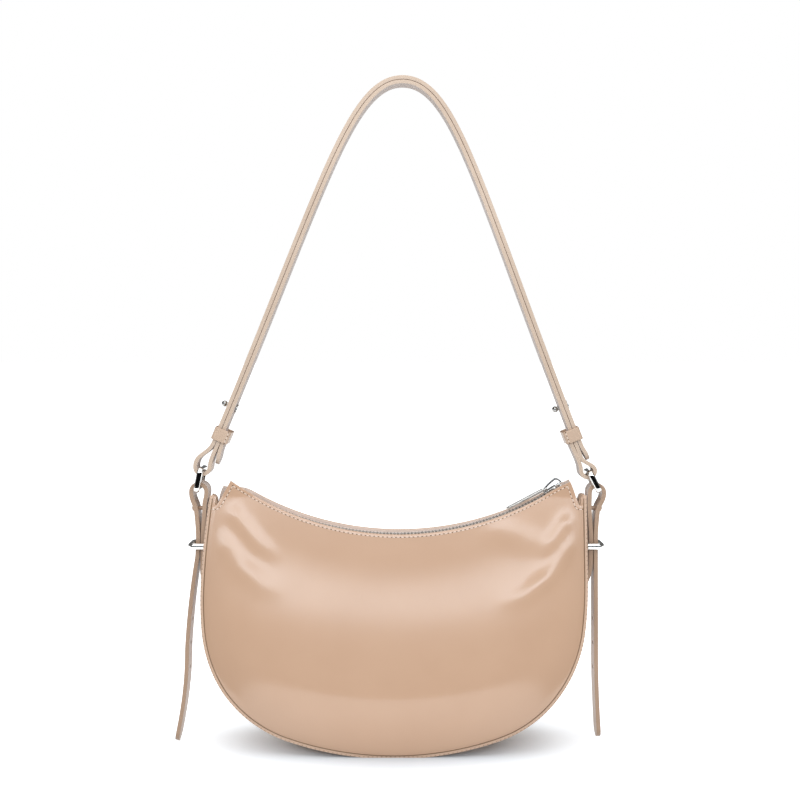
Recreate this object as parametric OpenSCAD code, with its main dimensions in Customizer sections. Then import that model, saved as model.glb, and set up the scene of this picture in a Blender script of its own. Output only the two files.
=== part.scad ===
// Half moon shoulder bag: wedge-shaped leather body, arched zip, two side straps and a doubled strap.
// Millimetres. X runs across the bag, Y from front to back, Z up. The origin is the middle of the
// footprint on the ground.

/* [Body] */
// Width of the body across its sides
body_w = 283; // [274:1:290]
// Radius of the bottom curve
bottom_r = 235; // [228:1:242]
// Radius of each side's curve below its widest point
side_r = 240; // [230:1:250]
// Radius of each side's curve above its widest point
upper_r = 1000; // [800:50:1600]
// Half the depth at the bottom
bottom_half = 37; // [35:0.5:44]
// Half the depth at the top of the gusset
top_half = 8.6; // [8.4:0.2:10]
// Height of the lowest point of the arched top edge
mouth_z = 156.3; // [152:1:160]
// Radius of the arched top edge
mouth_r = 219; // [212:1:226]
// How far the upper corners of a panel lie in from the body's widest part
corner_in = 17.1; // [15.5:0.5:19.5]
// Height at which the gusset ends
gusset_top = 184; // [182:0.5:186]
// Half the width of the flat on which the bag stands
rest_half = 25; // [18:1:32]

/* [Leather] */
// Thickness of a panel and of the gusset
panel_t = 1.6; // [1.4:0.1:1.8]
// How far the gusset's flange shows beyond a panel
rim = 2.8; // [2.2:0.2:3.2]
// How far the flange stands above the gusset
flange_h = 3; // [2.6:0.2:3.4]
// Thickness of the lining
lining_t = 0.7; // [0.5:0.1:0.9]
// Thickness of a strap
strap_t = 3; // [2.7:0.1:3.1]
// Width of a strap
strap_w = 15; // [13:0.5:15.4]
// Gap between two layers of leather
ply_gap = 0.15; // [0.1:0.05:0.2]

/* [Shoulder strap] */
// Height of the strap's highest point
strap_top = 494.5; // [450:1:540]
// How far the highest point lies to the right
apex_shift = 4; // [0:0.5:6]
// How far each strap keeper lies in from its link
keeper_in = 19; // [16:0.5:22]
// Height of the strap keepers
keeper_z = 228.4; // [226:0.5:232]
// Lean of the strap's left run
lean_left = 22.7; // [20:0.5:25]
// Lean of the strap's right run
lean_right = 21.2; // [20:0.5:25]
// Distance along the strap from keeper to stud
stud_up = 22; // [20:0.5:28]

/* [Metal] */
// Diameter of a link's rod
link_rod = 3.4; // [3:0.1:3.6]
// Distance between a link's two bars
link_len = 14.6; // [14:0.1:15.4]
// Lean of the left link
link_lean_left = 11; // [8:1:14]
// Lean of the right link
link_lean_right = 27; // [24:1:30]
// Diameter of a keeper ring's rod
ring_rod = 3.4; // [2.8:0.1:3.5]
// Height of the keeper rings
ring_z = 146; // [144:0.5:148]
// Height of the side rivets
rivet_z = 174; // [173:0.5:175]
// Diameter of a rivet's shank
shank_d = 3; // [2.4:0.1:3.4]
// Diameter of a stud's ball
ball_d = 4.6; // [4:0.1:5.2]

/* [Zip] */
// Pitch of the teeth of one row
tooth_pitch = 2.6; // [2.4:0.1:3]
// Width of the chain of teeth
chain_w = 5.6; // [5:0.2:6]
// Distance along the zip from the closed slider to the panel's corner
slider_back = 13.25; // [12:0.25:18]
// Length of the slider
slider_len = 10; // [9:0.5:10.5]
// Length of the puller
puller_len = 30; // [24:1:34]
// Width of the puller
puller_w = 5; // [4:0.5:6]

/* [Hidden] */
$fn = 48;
leather = [0.80, 0.66, 0.55];
leather_inside = [0.72, 0.60, 0.52];
cloth = [0.74, 0.66, 0.58];
metal = [0.75, 0.75, 0.76];
// One overrun serves every cut, and spans are long enough to pass the whole bag
overrun = 1;
body_span = body_w + 2 * overrun;
depth_span = 2 * (bottom_half + overrun);

// Half-moon outline: a bottom arc, and on each side a shoulder arc, a side arc and a flatter
// upper arc, which all meet in tangents
bottom_turn = 19;
side_turn = 7.7;
shoulder_r = (body_w / 2 - side_r * (1 - cos(side_turn)) - bottom_r * sin(bottom_turn))
    / (cos(side_turn) - sin(bottom_turn));
rest_sink = bottom_r - sqrt(pow(bottom_r, 2) - pow(rest_half, 2));
bottom_cz = bottom_r - rest_sink;
shoulder_cx = (bottom_r - shoulder_r) * sin(bottom_turn);
shoulder_cz = bottom_cz - (bottom_r - shoulder_r) * cos(bottom_turn);
side_cx = shoulder_cx - (side_r - shoulder_r) * cos(side_turn);
side_cz = shoulder_cz + (side_r - shoulder_r) * sin(side_turn);
upper_cx = side_cx + side_r - upper_r;
mouth_cz = mouth_z + mouth_r;
corner_x = body_w / 2 - corner_in;
corner_turn = asin(corner_x / mouth_r);
arc_steps = 7;

// Half the width of the body at height z, inset by d, on the side arc and the upper arc
function side_half(z, d) = z < side_cz
    ? side_cx + sqrt(pow(side_r - d, 2) - pow(z - side_cz, 2))
    : upper_cx + sqrt(pow(upper_r - d, 2) - pow(z - side_cz, 2));
// Right half of the outline, inset by d, from the bottom up to height top
function right_outline(d, top) = let (last = asin((top - side_cz) / (upper_r - d))) concat(
    [for (i = [0 : arc_steps - 1]) let (a = bottom_turn * i / arc_steps)
        [(bottom_r - d) * sin(a), bottom_cz - (bottom_r - d) * cos(a)]],
    [for (i = [0 : 2 * arc_steps - 1])
        let (a = bottom_turn + (90 - side_turn - bottom_turn) * i / (2 * arc_steps))
        [shoulder_cx + (shoulder_r - d) * sin(a), shoulder_cz - (shoulder_r - d) * cos(a)]],
    [for (i = [0 : arc_steps - 1]) let (a = side_turn * (i / arc_steps - 1))
        [side_cx + (side_r - d) * cos(a), side_cz + (side_r - d) * sin(a)]],
    [for (i = [0 : arc_steps]) let (a = last * i / arc_steps)
        [upper_cx + (upper_r - d) * cos(a), side_cz + (upper_r - d) * sin(a)]]);
function reversed(p) = [for (i = [len(p) - 1 : -1 : 0]) p[i]];
function mirrored(p) = [for (q = p) [-q[0], q[1]]];
function no_first(p) = [for (i = [1 : len(p) - 1]) p[i]];
function half_moon(d, top) = let (r = right_outline(d, top))
    concat(r, reversed(mirrored(no_first(r))));
// The same outline carried on past its top, to cut a strip that stays open there
function open_moon(d, top) = let (r = right_outline(d, top), lifted = r[len(r) - 1] + [0, overrun])
    concat(r, [lifted, [-lifted[0], lifted[1]]], reversed(mirrored(no_first(r))));
// Point on the mouth's arc at angle a from the middle, sunk by d below the edge
function mouth_point(a, d) = [(mouth_r + d) * sin(a), mouth_cz - (mouth_r + d) * cos(a)];

// Half the depth of the body at height z: an easing curve below, then a straight wedge
ease_share = 0.3;
wedge_low = 6;
function wedge(t) = t < 0 ? 0
    : t < ease_share ? t * t / (2 * ease_share * (1 - ease_share / 2))
    : t < 1 ? (t - ease_share / 2) / (1 - ease_share / 2)
    : 1;
function half_depth(z) = bottom_half
    - (bottom_half - top_half) * wedge((z - wedge_low) / (gusset_top - wedge_low));
wedge_top = mouth_cz - sqrt(pow(mouth_r, 2) - pow(corner_x, 2)) + overrun;
wedge_steps = 16;
wedge_zs = [for (i = [0 : wedge_steps]) -overrun + (wedge_top + 2 * overrun) * i / wedge_steps];

// Solid between two inward shifts of the front face, from d0 to d1
module front_slice(d0, d1) {
    rotate([90, 0, 90])
        linear_extrude(body_span, center = true)
            polygon(concat(
                [for (z = wedge_zs) [d0 - half_depth(z), z]],
                reversed([for (z = wedge_zs) [d1 - half_depth(z), z]])));
}

// Solid that fills the wedge between both faces, each shifted inward by d
module wedge_core(d) {
    rotate([90, 0, 90])
        linear_extrude(body_span, center = true)
            polygon(concat(
                [for (z = wedge_zs) [d - half_depth(z), z]],
                reversed([for (z = wedge_zs) [half_depth(z) - d, z]])));
}

module along_y(points, width) {
    rotate([90, 0, 0])
        linear_extrude(width, center = true)
            polygon(points);
}

module above_ground() {
    translate([-body_w, -body_w, 0])
        cube([2 * body_w, 2 * body_w, 2 * body_w]);
}

// Ribbons: a centreline of points becomes a strip of the strap's thickness and width
function unit(v) = v / norm(v);
function turn_left(v) = [-v[1], v[0]];
function heading(p, i) = unit(p[min(i + 1, len(p) - 1)] - p[max(i - 1, 0)]);
function shifted(p, d) = [for (i = [0 : len(p) - 1]) p[i] + d * turn_left(heading(p, i))];
function ribbon(p, t) = concat(shifted(p, t / 2), reversed(shifted(p, -t / 2)));
function bezier(a, b, c, d, n) = [for (i = [0 : n]) let (u = i / n)
    pow(1 - u, 3) * a + 3 * u * pow(1 - u, 2) * b + 3 * u * u * (1 - u) * c + pow(u, 3) * d];

// Panels
notch_drop = 6.3;
notch_w = 1.6;
tongue_w = 2.2;
panel_top = gusset_top + notch_w / 2;
notch_x = side_half(panel_top, rim) - tongue_w - notch_w / 2;

function panel_outline() = let (
    right = right_outline(rim, panel_top),
    side_foot = [notch_x - notch_w / 2, gusset_top - notch_drop / 2],
    edge = [for (i = [0 : 2 * arc_steps]) mouth_point(corner_turn * (1 - i / arc_steps), 0)])
    concat(right, [side_foot], edge, [[-side_foot[0], side_foot[1]]],
        reversed(mirrored(no_first(right))));

module panel_notches() {
    for (s = [-1, 1])
        translate([s * notch_x, 0, 0])
            rotate([90, 0, 0]) {
                translate([0, gusset_top - notch_drop, 0])
                    cylinder(d = notch_w, h = depth_span, center = true);
                translate([-notch_w / 2, gusset_top - notch_drop, -depth_span / 2])
                    cube([notch_w, 2 * notch_drop, depth_span]);
            }
}

module panel_shape(span) {
    difference() {
        along_y(panel_outline(), span);
        panel_notches();
    }
}

module front_panel() {
    color(leather)
        intersection() {
            panel_shape(depth_span);
            front_slice(0, panel_t);
            above_ground();
        }
}

module back_panel() {
    color(leather)
        mirror([0, 1, 0])
            front_panel();
}

// Gusset: a strip that follows the half moon, with a flange behind each panel
flange_at = panel_t + ply_gap;
turn_in = 5;

module gusset() {
    color(leather)
        intersection() {
            union() {
                intersection() {
                    difference() {
                        along_y(half_moon(flange_h, gusset_top), depth_span);
                        along_y(open_moon(flange_h + panel_t, gusset_top), depth_span + overrun);
                    }
                    wedge_core(flange_at);
                }
                for (side = [0, 1])
                    mirror([0, side, 0])
                        intersection() {
                            difference() {
                                along_y(half_moon(0, gusset_top), depth_span);
                                along_y(open_moon(flange_h + panel_t, gusset_top),
                                    depth_span + overrun);
                            }
                            front_slice(flange_at, flange_at + panel_t);
                        }
                intersection() {
                    for (s = [-1, 1])
                        translate([s * (side_half(gusset_top, flange_h) - turn_in / 2), 0,
                                gusset_top - panel_t / 2])
                            cube([turn_in, depth_span, panel_t], center = true);
                    along_y(half_moon(flange_h, gusset_top), depth_span);
                    wedge_core(flange_at);
                }
            }
            above_ground();
        }
}

// Lining: thin sheets inside the panels and the gusset
lining_at = flange_at + panel_t + ply_gap;
lining_inset = flange_h + panel_t + ply_gap;
lining_drop = 16;
lining_top = mouth_z - lining_drop;
board_t = 1.2;
board_turn = 14;

module lining_sheet() {
    intersection() {
        along_y(half_moon(lining_inset + board_t + 2 * ply_gap + lining_t, lining_top), depth_span);
        front_slice(lining_at, lining_at + lining_t);
    }
}

module front_lining() {
    color(cloth)
        lining_sheet();
}

module back_lining() {
    color(cloth)
        mirror([0, 1, 0])
            lining_sheet();
}

module gusset_lining() {
    inset = lining_inset + board_t + ply_gap;
    color(cloth)
        intersection() {
            difference() {
                along_y(half_moon(inset, lining_top), depth_span);
                along_y(open_moon(inset + lining_t, lining_top), depth_span + overrun);
            }
            wedge_core(lining_at);
        }
}

module base_board() {
    outer = bottom_r - lining_inset;
    color(leather_inside)
        intersection() {
            along_y(concat(
                [for (i = [-arc_steps : arc_steps]) let (a = board_turn * i / arc_steps)
                    [outer * sin(a), bottom_cz - outer * cos(a)]],
                reversed([for (i = [-arc_steps : arc_steps]) let (a = board_turn * i / arc_steps)
                    [(outer - board_t) * sin(a), bottom_cz - (outer - board_t) * cos(a)]])),
                depth_span);
            wedge_core(lining_at + lining_t);
        }
}

pocket_w = 150;
pocket_low = 50;
pocket_high = 128;

module inner_pocket() {
    color(cloth)
        mirror([0, 1, 0])
            intersection() {
                along_y([[-pocket_w / 2, pocket_low], [pocket_w / 2, pocket_low],
                    [pocket_w / 2, pocket_high], [-pocket_w / 2, pocket_high]], depth_span);
                front_slice(lining_at + lining_t + ply_gap, lining_at + 2 * lining_t + ply_gap);
            }
}

// Zip: two tapes on the mouth's arc, two rows of teeth, stops, slider and puller
tape_t = 0.8;
tape_sink = 1.8;
tape_back = 6.2;
tape_skirt = 11;
tooth_h = 2.4;
tooth_gap = 0.12;
tooth_lap = 0.7;
chain_back = 7.8;
tape_edge = chain_w / 2 - tooth_lap;
tape_at = panel_t + ply_gap;

// Angle that a length covers on the zip's arc
zip_r = mouth_r + tape_sink + tape_t / 2;
function zip_angle(l) = l / zip_r * 180 / PI;
tape_turn = corner_turn - zip_angle(tape_back);
chain_turn = corner_turn - zip_angle(chain_back);
slider_rest = corner_turn - zip_angle(slider_back);

// Sector of a ring round the mouth's centre, sunk between d0 and d1
function mouth_band(d0, d1, a) = concat(
    [for (i = [-2 * arc_steps : 2 * arc_steps]) mouth_point(a * i / (2 * arc_steps), d0)],
    reversed([for (i = [-2 * arc_steps : 2 * arc_steps]) mouth_point(a * i / (2 * arc_steps), d1)]));

module front_half() {
    translate([-body_w, -body_w - tape_edge, 0])
        cube([2 * body_w, body_w, 3 * body_w]);
}

module zip_tape() {
    intersection() {
        union() {
            intersection() {
                along_y(mouth_band(tape_sink, tape_sink + tape_t, tape_turn), depth_span);
                wedge_core(tape_at);
            }
            intersection() {
                along_y(mouth_band(tape_sink, tape_sink + tape_skirt, tape_turn), depth_span);
                front_slice(tape_at, tape_at + tape_t);
            }
        }
        front_half();
    }
}

module front_zip_tape() {
    color(leather)
        zip_tape();
}

module back_zip_tape() {
    color(leather)
        mirror([0, 1, 0])
            zip_tape();
}

module at_zip(a) {
    translate([0, 0, mouth_cz])
        rotate([0, -a, 0])
            translate([0, 0, -zip_r])
                children();
}
tooth_turn = zip_angle(tooth_pitch);
post_len = 2;
post_edge = 0.5;
post_low = slider_len / 2 - post_len - post_edge;
// The closed chain starts at the left stop and ends just before the slider's post
first_tooth = -floor(chain_turn / tooth_turn);
last_tooth = floor((slider_rest + zip_angle(post_low - tooth_pitch / 2)) / tooth_turn);

// One tooth clasps the edge of its tape and reaches past the middle
module tooth() {
    long = tooth_pitch / 2 - tooth_gap;
    slot = tape_t + 2 * tooth_gap;
    difference() {
        translate([-long / 2, -chain_w / 2, -tooth_h / 2])
            cube([long, chain_w / 2 + tooth_lap, tooth_h]);
        translate([-long, -chain_w / 2 - overrun, -slot / 2])
            cube([2 * long, tooth_lap + overrun + tooth_gap, slot]);
    }
}

module front_zip_teeth() {
    color(metal)
        for (i = [first_tooth : last_tooth])
            at_zip(i * tooth_turn)
                tooth();
}

module back_zip_teeth() {
    color(metal)
        for (i = [first_tooth : last_tooth - 1])
            at_zip((i + 1 / 2) * tooth_turn)
                mirror([0, 1, 0])
                    tooth();
}

// A stop is a block clasped on the tape's edge: one joined pair at the left, two single ones
// at the right
module zip_stop(long) {
    slot = tape_t + 2 * tooth_gap;
    for (side = [0, 1])
        mirror([0, side, 0])
            difference() {
                translate([-long / 2, -chain_w / 2, -tooth_h / 2])
                    cube([long, tooth_lap + tooth_h / 2, tooth_h]);
                translate([-long, -chain_w / 2 - overrun, -slot / 2])
                    cube([2 * long, tooth_lap + overrun + tooth_gap, slot]);
            }
}

module zip_stops() {
    color(metal) {
        at_zip((first_tooth - 1) * tooth_turn) {
            zip_stop(tooth_pitch / 2);
            cube([tooth_pitch / 2, chain_w - 2 * tooth_lap - tooth_h / 2, tooth_h], center = true);
        }
        at_zip(slider_rest + zip_angle(slider_len / 2 + tooth_pitch / 2))
            zip_stop(tooth_pitch / 2);
    }
}

// Slider: two plates joined by a wedge at the open end, and a bridge that holds the puller
plate_t = 1.1;
slider_side = 1.6;
slider_w = chain_w + 2 * slider_side;
slider_room = 0.25;
plate_z = tooth_h / 2 + slider_room;
bridge_w = 2.6;
bridge_t = 1;
bridge_h = 3.4;
hinge_d = 1.5;
hinge_lift = 0.7;
hinge_z = plate_z + plate_t + hinge_lift + hinge_d / 2;

module zip_slider() {
    side_h = plate_z - tape_t / 2 - slider_room;
    color(metal)
        at_zip(slider_rest) {
            for (side = [0, 1])
                mirror([0, 0, side])
                    translate([0, 0, plate_z]) {
                        translate([0, 0, plate_t / 2])
                            cube([slider_len, slider_w, plate_t], center = true);
                        for (s = [-1, 1])
                            translate([0, s * (slider_w - plate_t) / 2, -side_h / 2])
                                cube([slider_len, plate_t, side_h], center = true);
                    }
            // The bridge is an arch over the upper plate, and the puller's eye hangs in it
            translate([0, 0, plate_z + plate_t])
                difference() {
                    translate([0, 0, bridge_h / 2])
                        cube([slider_len - 2 * bridge_t, bridge_w, bridge_h], center = true);
                    translate([0, 0, (bridge_h - bridge_t) / 2 - overrun / 2])
                        cube([slider_len - 4 * bridge_t, bridge_w + overrun,
                            bridge_h - bridge_t + overrun], center = true);
                }
            // The two plates are joined by a post ahead of the last closed tooth
            translate([post_low + post_len / 2, 0, 0])
                cube([post_len, bridge_w, 2 * plate_z + plate_t], center = true);
        }
}

// The puller lies along the zip: a cross pin under the bridge, two arms and a long flat tab
eye_x = slider_len / 2 - 3 * bridge_t;
tab_t = 1.6;
puller_tilt = 3.5;

module zip_puller() {
    color(metal)
        at_zip(slider_rest)
            translate([-eye_x, 0, hinge_z])
                rotate([0, puller_tilt, 0]) {
                    rotate([90, 0, 0])
                        cylinder(d = hinge_d, h = bridge_w + 2 * bridge_t, center = true);
                    for (s = [-1, 1])
                        translate([-(eye_x + bridge_t) / 2,
                                s * (bridge_w + bridge_t + slider_room) / 2, 0])
                            cube([eye_x + bridge_t + hinge_d, bridge_t, hinge_d], center = true);
                    translate([-eye_x - bridge_t - puller_len, 0, -tab_t / 2])
                        linear_extrude(tab_t) {
                            translate([puller_w / 2, -puller_w / 2])
                                square([puller_len - puller_w / 2, puller_w]);
                            translate([puller_w / 2, 0])
                                circle(d = puller_w);
                        }
                }
}

// Side straps, seen edge on: an anchored leg, a free tail and a loop that pivots on the rivet.
// Their places are measured from the body's side at the rivet's height.
side_x = side_half(rivet_z, 0);
link_x = side_x + 8.65;
link_z = 187.9;
seat_gap = 0.3;
bore_gap = 0.08;
pivot_in = side_x + 2.15;
pivot_out = side_x + 7.85;
ring_lane_in = side_half(ring_z, 0) + 3.1;
lane = strap_t + ply_gap;
ring_lane_out = ring_lane_in + lane + seat_gap;
ring_run_up = 4;
ring_run_down = 12;
ear_r = strap_w / 2;
ear_gap = 0.3;
loop_bore_r = 5;
loop_r = loop_bore_r + strap_t / 2;
leg_steps = 8;
anchor_top = 112;
anchor_low = 78;
tail_mid_x = side_x + 9.55;
tail_mid_z = 70;
tail_tip_x = side_x + 13.45;
tail_tip_z = 3.5;
tail_hole_d = 3;
tail_hole_z = 74;
tail_hole_pitch = 18;

function anchored_leg() = let (
    lie = strap_t / 2 - flange_h + ply_gap,
    seat = [side_half(anchor_top, -lie), anchor_top],
    seat_dir = unit([seat[0] - side_cx, seat[1] - side_cz]))
    concat(
        bezier([pivot_in, rivet_z + ear_r], [pivot_in, rivet_z - ear_r],
            [ring_lane_in, ring_z + 2 * ring_run_up + ear_r], [ring_lane_in, ring_z + ring_run_up],
            leg_steps),
        bezier([ring_lane_in, ring_z - ring_run_down],
            [ring_lane_in, ring_z - 2 * ring_run_down],
            seat + ring_run_down * [-seat_dir[1], seat_dir[0]], seat, leg_steps),
        [for (i = [1 : leg_steps]) let (z = anchor_top + (anchor_low - anchor_top) * i / leg_steps)
            [side_half(z, -lie), z]]);

function tail_leg() = concat(
    bezier([pivot_out, rivet_z + ear_r], [pivot_out, rivet_z - ear_r],
        [ring_lane_out, ring_z + 2 * ring_run_up + ear_r], [ring_lane_out, ring_z + ring_run_up],
        leg_steps),
    bezier([ring_lane_out, ring_z - ring_run_down],
        [ring_lane_out, (ring_z + tail_mid_z) / 2],
        [tail_mid_x, tail_mid_z + ring_run_down], [tail_mid_x, tail_mid_z], leg_steps),
    no_first(bezier([tail_mid_x, tail_mid_z], [tail_mid_x, tail_mid_z - 2 * ring_run_down],
        [(tail_mid_x + tail_tip_x) / 2, tail_tip_z + 2 * ring_run_down], [tail_tip_x, tail_tip_z],
        leg_steps)));

// Above and below the rivet each strip is halved over the height of the lap, so that the loop
// can turn about the rivet with its half on the outside of the legs' half
module lap_room(x0, x1) {
    reach = ear_r + ear_gap;
    translate([x0, -depth_span / 2, rivet_z - reach])
        cube([x1 - x0, depth_span, 2 * reach]);
}

// Round ear of one ply at the rivet, from x0 to x1
module ear_disc(x0, x1, r) {
    translate([x0, 0, rivet_z])
        rotate([0, 90, 0])
            cylinder(r = r, h = x1 - x0);
}

module rivet_bore(x0, x1) {
    translate([x0, 0, rivet_z])
        rotate([0, 90, 0])
            cylinder(d = shank_d + 2 * bore_gap, h = x1 - x0);
}

module above_rivet() {
    translate([0, -body_w / 2, rivet_z])
        cube([body_w, body_w, body_w]);
}

// The anchored leg keeps its outer half at the ear, which lies inside the loop's ear
module side_strap() {
    color(leather)
        difference() {
            union() {
                difference() {
                    along_y(ribbon(anchored_leg(), strap_t), strap_w);
                    above_rivet();
                    lap_room(pivot_in - strap_t, pivot_in + ear_gap / 2);
                }
                ear_disc(pivot_in + ear_gap / 2, pivot_in + strap_t / 2, ear_r);
            }
            rivet_bore(pivot_in - strap_t, pivot_in + strap_t);
        }
}

module side_tail() {
    color(leather)
        difference() {
            union() {
                difference() {
                    along_y(ribbon(tail_leg(), strap_t), strap_w);
                    above_rivet();
                    lap_room(pivot_out - ear_gap / 2, pivot_out + strap_t);
                }
                ear_disc(pivot_out - strap_t / 2, pivot_out - ear_gap / 2, ear_r);
            }
            rivet_bore(pivot_out - strap_t, pivot_out + strap_t);
            for (i = [0 : 2])
                translate([pivot_in, 0, tail_hole_z - (i - 1) * tail_hole_pitch])
                    rotate([0, 90, 0])
                        cylinder(d = tail_hole_d, h = 2 * ring_rod + 2 * loop_r);
        }
}

rivet_head_d = 5.2;
rivet_head_t = 1.1;
// The loop's legs run straight past the rivet's heads and swell above them
swell_up = rivet_head_d / 2 + seat_gap;
function lower_loop() = let (
    c = [link_x, link_z + link_rod / 2 + seat_gap - loop_bore_r])
    concat(
        [[pivot_in, rivet_z - ear_r]],
        bezier([pivot_in, rivet_z + swell_up], [pivot_in, (rivet_z + swell_up + c[1]) / 2],
            [c[0] - loop_r, (rivet_z + swell_up + c[1]) / 2], [c[0] - loop_r, c[1]], leg_steps),
        [for (i = [1 : 2 * leg_steps - 1]) let (a = 180 - 180 * i / (2 * leg_steps))
            c + loop_r * [cos(a), sin(a)]],
        bezier([c[0] + loop_r, c[1]], [c[0] + loop_r, (rivet_z + swell_up + c[1]) / 2],
            [pivot_out, (rivet_z + swell_up + c[1]) / 2], [pivot_out, rivet_z + swell_up],
            leg_steps),
        [[pivot_out, rivet_z - ear_r]]);

// The loop keeps its outer half at each ear, so that it straddles the two legs
module side_loop() {
    color(leather)
        difference() {
            along_y(ribbon(lower_loop(), strap_t), strap_w);
            lap_room(pivot_in - ear_gap / 2, pivot_out + ear_gap / 2);
            rivet_bore(pivot_in - strap_t, pivot_out + strap_t);
            difference() {
                translate([pivot_in - strap_t, -strap_w, rivet_z - strap_w])
                    cube([pivot_out - pivot_in + 2 * strap_t, 2 * strap_w, strap_w]);
                ear_disc(pivot_in - strap_t, pivot_out + strap_t, ear_r);
            }
        }
}

module side_rivet() {
    low = pivot_in - strap_t / 2 - ply_gap;
    high = pivot_out + strap_t / 2 + ply_gap;
    color(metal)
        translate([0, 0, rivet_z])
            rotate([0, 90, 0]) {
                translate([0, 0, low - rivet_head_t])
                    cylinder(d = rivet_head_d, h = rivet_head_t);
                translate([0, 0, low - rivet_head_t])
                    cylinder(d = shank_d, h = high - low + 2 * rivet_head_t);
                translate([0, 0, high])
                    cylinder(d = rivet_head_d, h = rivet_head_t);
            }
}

// Closed rectangular ring of round rod in the XY plane, a by b between the rod's centres
module rod_ring(a, b, rod, bend) {
    for (s = [-1, 1]) {
        translate([s * a / 2, 0, 0])
            rotate([90, 0, 0])
                cylinder(d = rod, h = b - 2 * bend, center = true);
        translate([0, s * b / 2, 0])
            rotate([0, 90, 0])
                cylinder(d = rod, h = a - 2 * bend, center = true);
    }
    for (k = [0 : 3])
        translate([(k == 0 || k == 3 ? 1 : -1) * (a / 2 - bend),
                (k < 2 ? 1 : -1) * (b / 2 - bend), 0])
            rotate([0, 0, 90 * k])
                rotate_extrude(angle = 90)
                    translate([bend, 0])
                        circle(d = rod);
}

ring_bend = ring_rod * 0.8;
ring_side = 0.5;
ring_low = ring_lane_in - strap_t / 2 - seat_gap - ring_rod / 2;
ring_high = ring_lane_out + strap_t / 2 + 2 * seat_gap + ring_rod / 2;

module keeper_ring() {
    color(metal)
        translate([(ring_low + ring_high) / 2, 0, ring_z])
            rod_ring(ring_high - ring_low, strap_w + 2 * ring_side + ring_rod, ring_rod, ring_bend);
}

link_side = 1;
link_bend = link_rod * 0.75;

module link_ring(lean) {
    color(metal)
        translate([link_x, 0, link_z])
            rotate([0, -lean, 0])
                translate([0, 0, link_len / 2])
                    rotate([0, 90, 0])
                        rod_ring(link_len, strap_w + 2 * link_side + link_rod, link_rod, link_bend);
}

// Shoulder strap: two strips that lie on each other, each with a loop at one end and a tail
// at the other
keeper_x = link_x - keeper_in;
run_pull = 200;
apex_pull = 40;
arch_steps = 12;
keeper_h = 9.6;
keeper_wall = 1.4;
keeper_room = 0.3;
strap_room = 0.2;
strap_lane = strap_t + strap_room;
end_play = 2;
tail_left = 16.5;
tail_right = 11;
tail_away = 1.6;
return_up = 2;

// Unit vector up along the run on side s, and the unit vector out of the arch
function run_dir(s) = let (a = s < 0 ? lean_left : lean_right) [-s * sin(a), cos(a)];
function run_out(s) = let (a = s < 0 ? lean_left : lean_right) [s * cos(a), sin(a)];
function keeper_mid(s) = [s * keeper_x, keeper_z];
// Centre of lane k at distance l up the run from the keeper, lane 1 being the outermost
function lane_point(s, k, l) = keeper_mid(s) + (2 - k) * strap_lane * run_out(s) + l * run_dir(s);
function half_arch(s) = let (
    foot = lane_point(s, 1, 0),
    apex = [apex_shift, strap_top - strap_t / 2])
    bezier(foot, foot + run_pull * run_dir(s), apex + [s * apex_pull, 0], apex, arch_steps);
arch = concat(half_arch(-1), no_first(reversed(half_arch(1))));
arch_count = len(arch);

// The inner strip lies in lane 2 on the run and bends over to lane 3 between stud and keeper
jog_top = stud_up - shank_d;
jog_foot = keeper_h / 2 + end_play;
function lane_jog(s) = let (rise = (jog_top - jog_foot) / 2 * run_dir(s),
    low = lane_point(s, 3, jog_foot), high = lane_point(s, 2, jog_top))
    bezier(low, low + rise, high - rise, high, leg_steps);
lane_two = shifted(arch, -strap_lane);
inner_arch = concat(lane_jog(-1), [for (i = [1 : arch_count - 2]) lane_two[i]],
    reversed(lane_jog(1)));

function link_lean(s) = s < 0 ? link_lean_left : link_lean_right;
function upper_bar(s) = [s * (link_x - link_len * sin(link_lean(s))),
    link_z + link_len * cos(link_lean(s))];
loop_in = 1.2;
open_gap = 0.6;
// The bar sits in the loop's foot, with more room at the right, where the linkage is open
function upper_loop_mid(s) = let (room = s < 0 ? seat_gap : open_gap)
    upper_bar(s) + [-s * loop_in,
        sqrt(pow(loop_bore_r - link_rod / 2 - room, 2) - pow(loop_in, 2))];

// Loop from lane k at the keeper, round the link's bar from outside to inside, and up to
// lane k + 1. Its outer leg keeps to its lane for the length hold below the keeper.
keeper_foot = keeper_h / 2 + end_play;
loop_swell = 10;
function loop_path(s, k, hold) = let (
    c = upper_loop_mid(s),
    a = lane_point(s, k, -keeper_foot - hold),
    b = lane_point(s, k + 1, -keeper_foot),
    swell = loop_swell - hold / 2,
    u = run_dir(s))
    concat(
        bezier(a, a - swell * u, c + [s * loop_r, swell], c + [s * loop_r, 0], leg_steps),
        [for (i = [1 : 2 * leg_steps - 1]) let (t = 180 * i / (2 * leg_steps))
            c + loop_r * [s * cos(t), -sin(t)]],
        bezier(c - [s * loop_r, 0], c + [-s * loop_r, loop_swell / 2], b - loop_swell / 2 * u, b,
            leg_steps));

// A free tail leaves the keeper in lane k and stands away from the loop beside it
function free_tail(s, k, long) = let (
    foot = lane_point(s, k, -keeper_foot),
    tip = lane_point(s, k, -keeper_foot - long) + [tail_away, 0])
    bezier(foot, foot - long / 2 * run_dir(s), tip + long / 2 * run_dir(s), tip, leg_steps);

function outer_path() = concat(
    [lane_point(-1, 2, return_up)],
    reversed(loop_path(-1, 1, 0)),
    arch,
    free_tail(1, 1, tail_right));

function inner_path() = concat(
    [lane_point(1, 2, return_up), lane_point(1, 2, -keeper_foot)],
    loop_path(1, 2, tail_right),
    reversed(inner_arch),
    free_tail(-1, 3, tail_left));

module at_stud(s) {
    p = lane_point(s, 1, stud_up) + strap_t / 2 * run_out(s);
    translate([p[0], 0, p[1]])
        rotate([0, s < 0 ? -90 + lean_left : 90 - lean_right, 0])
            children();
}

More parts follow.
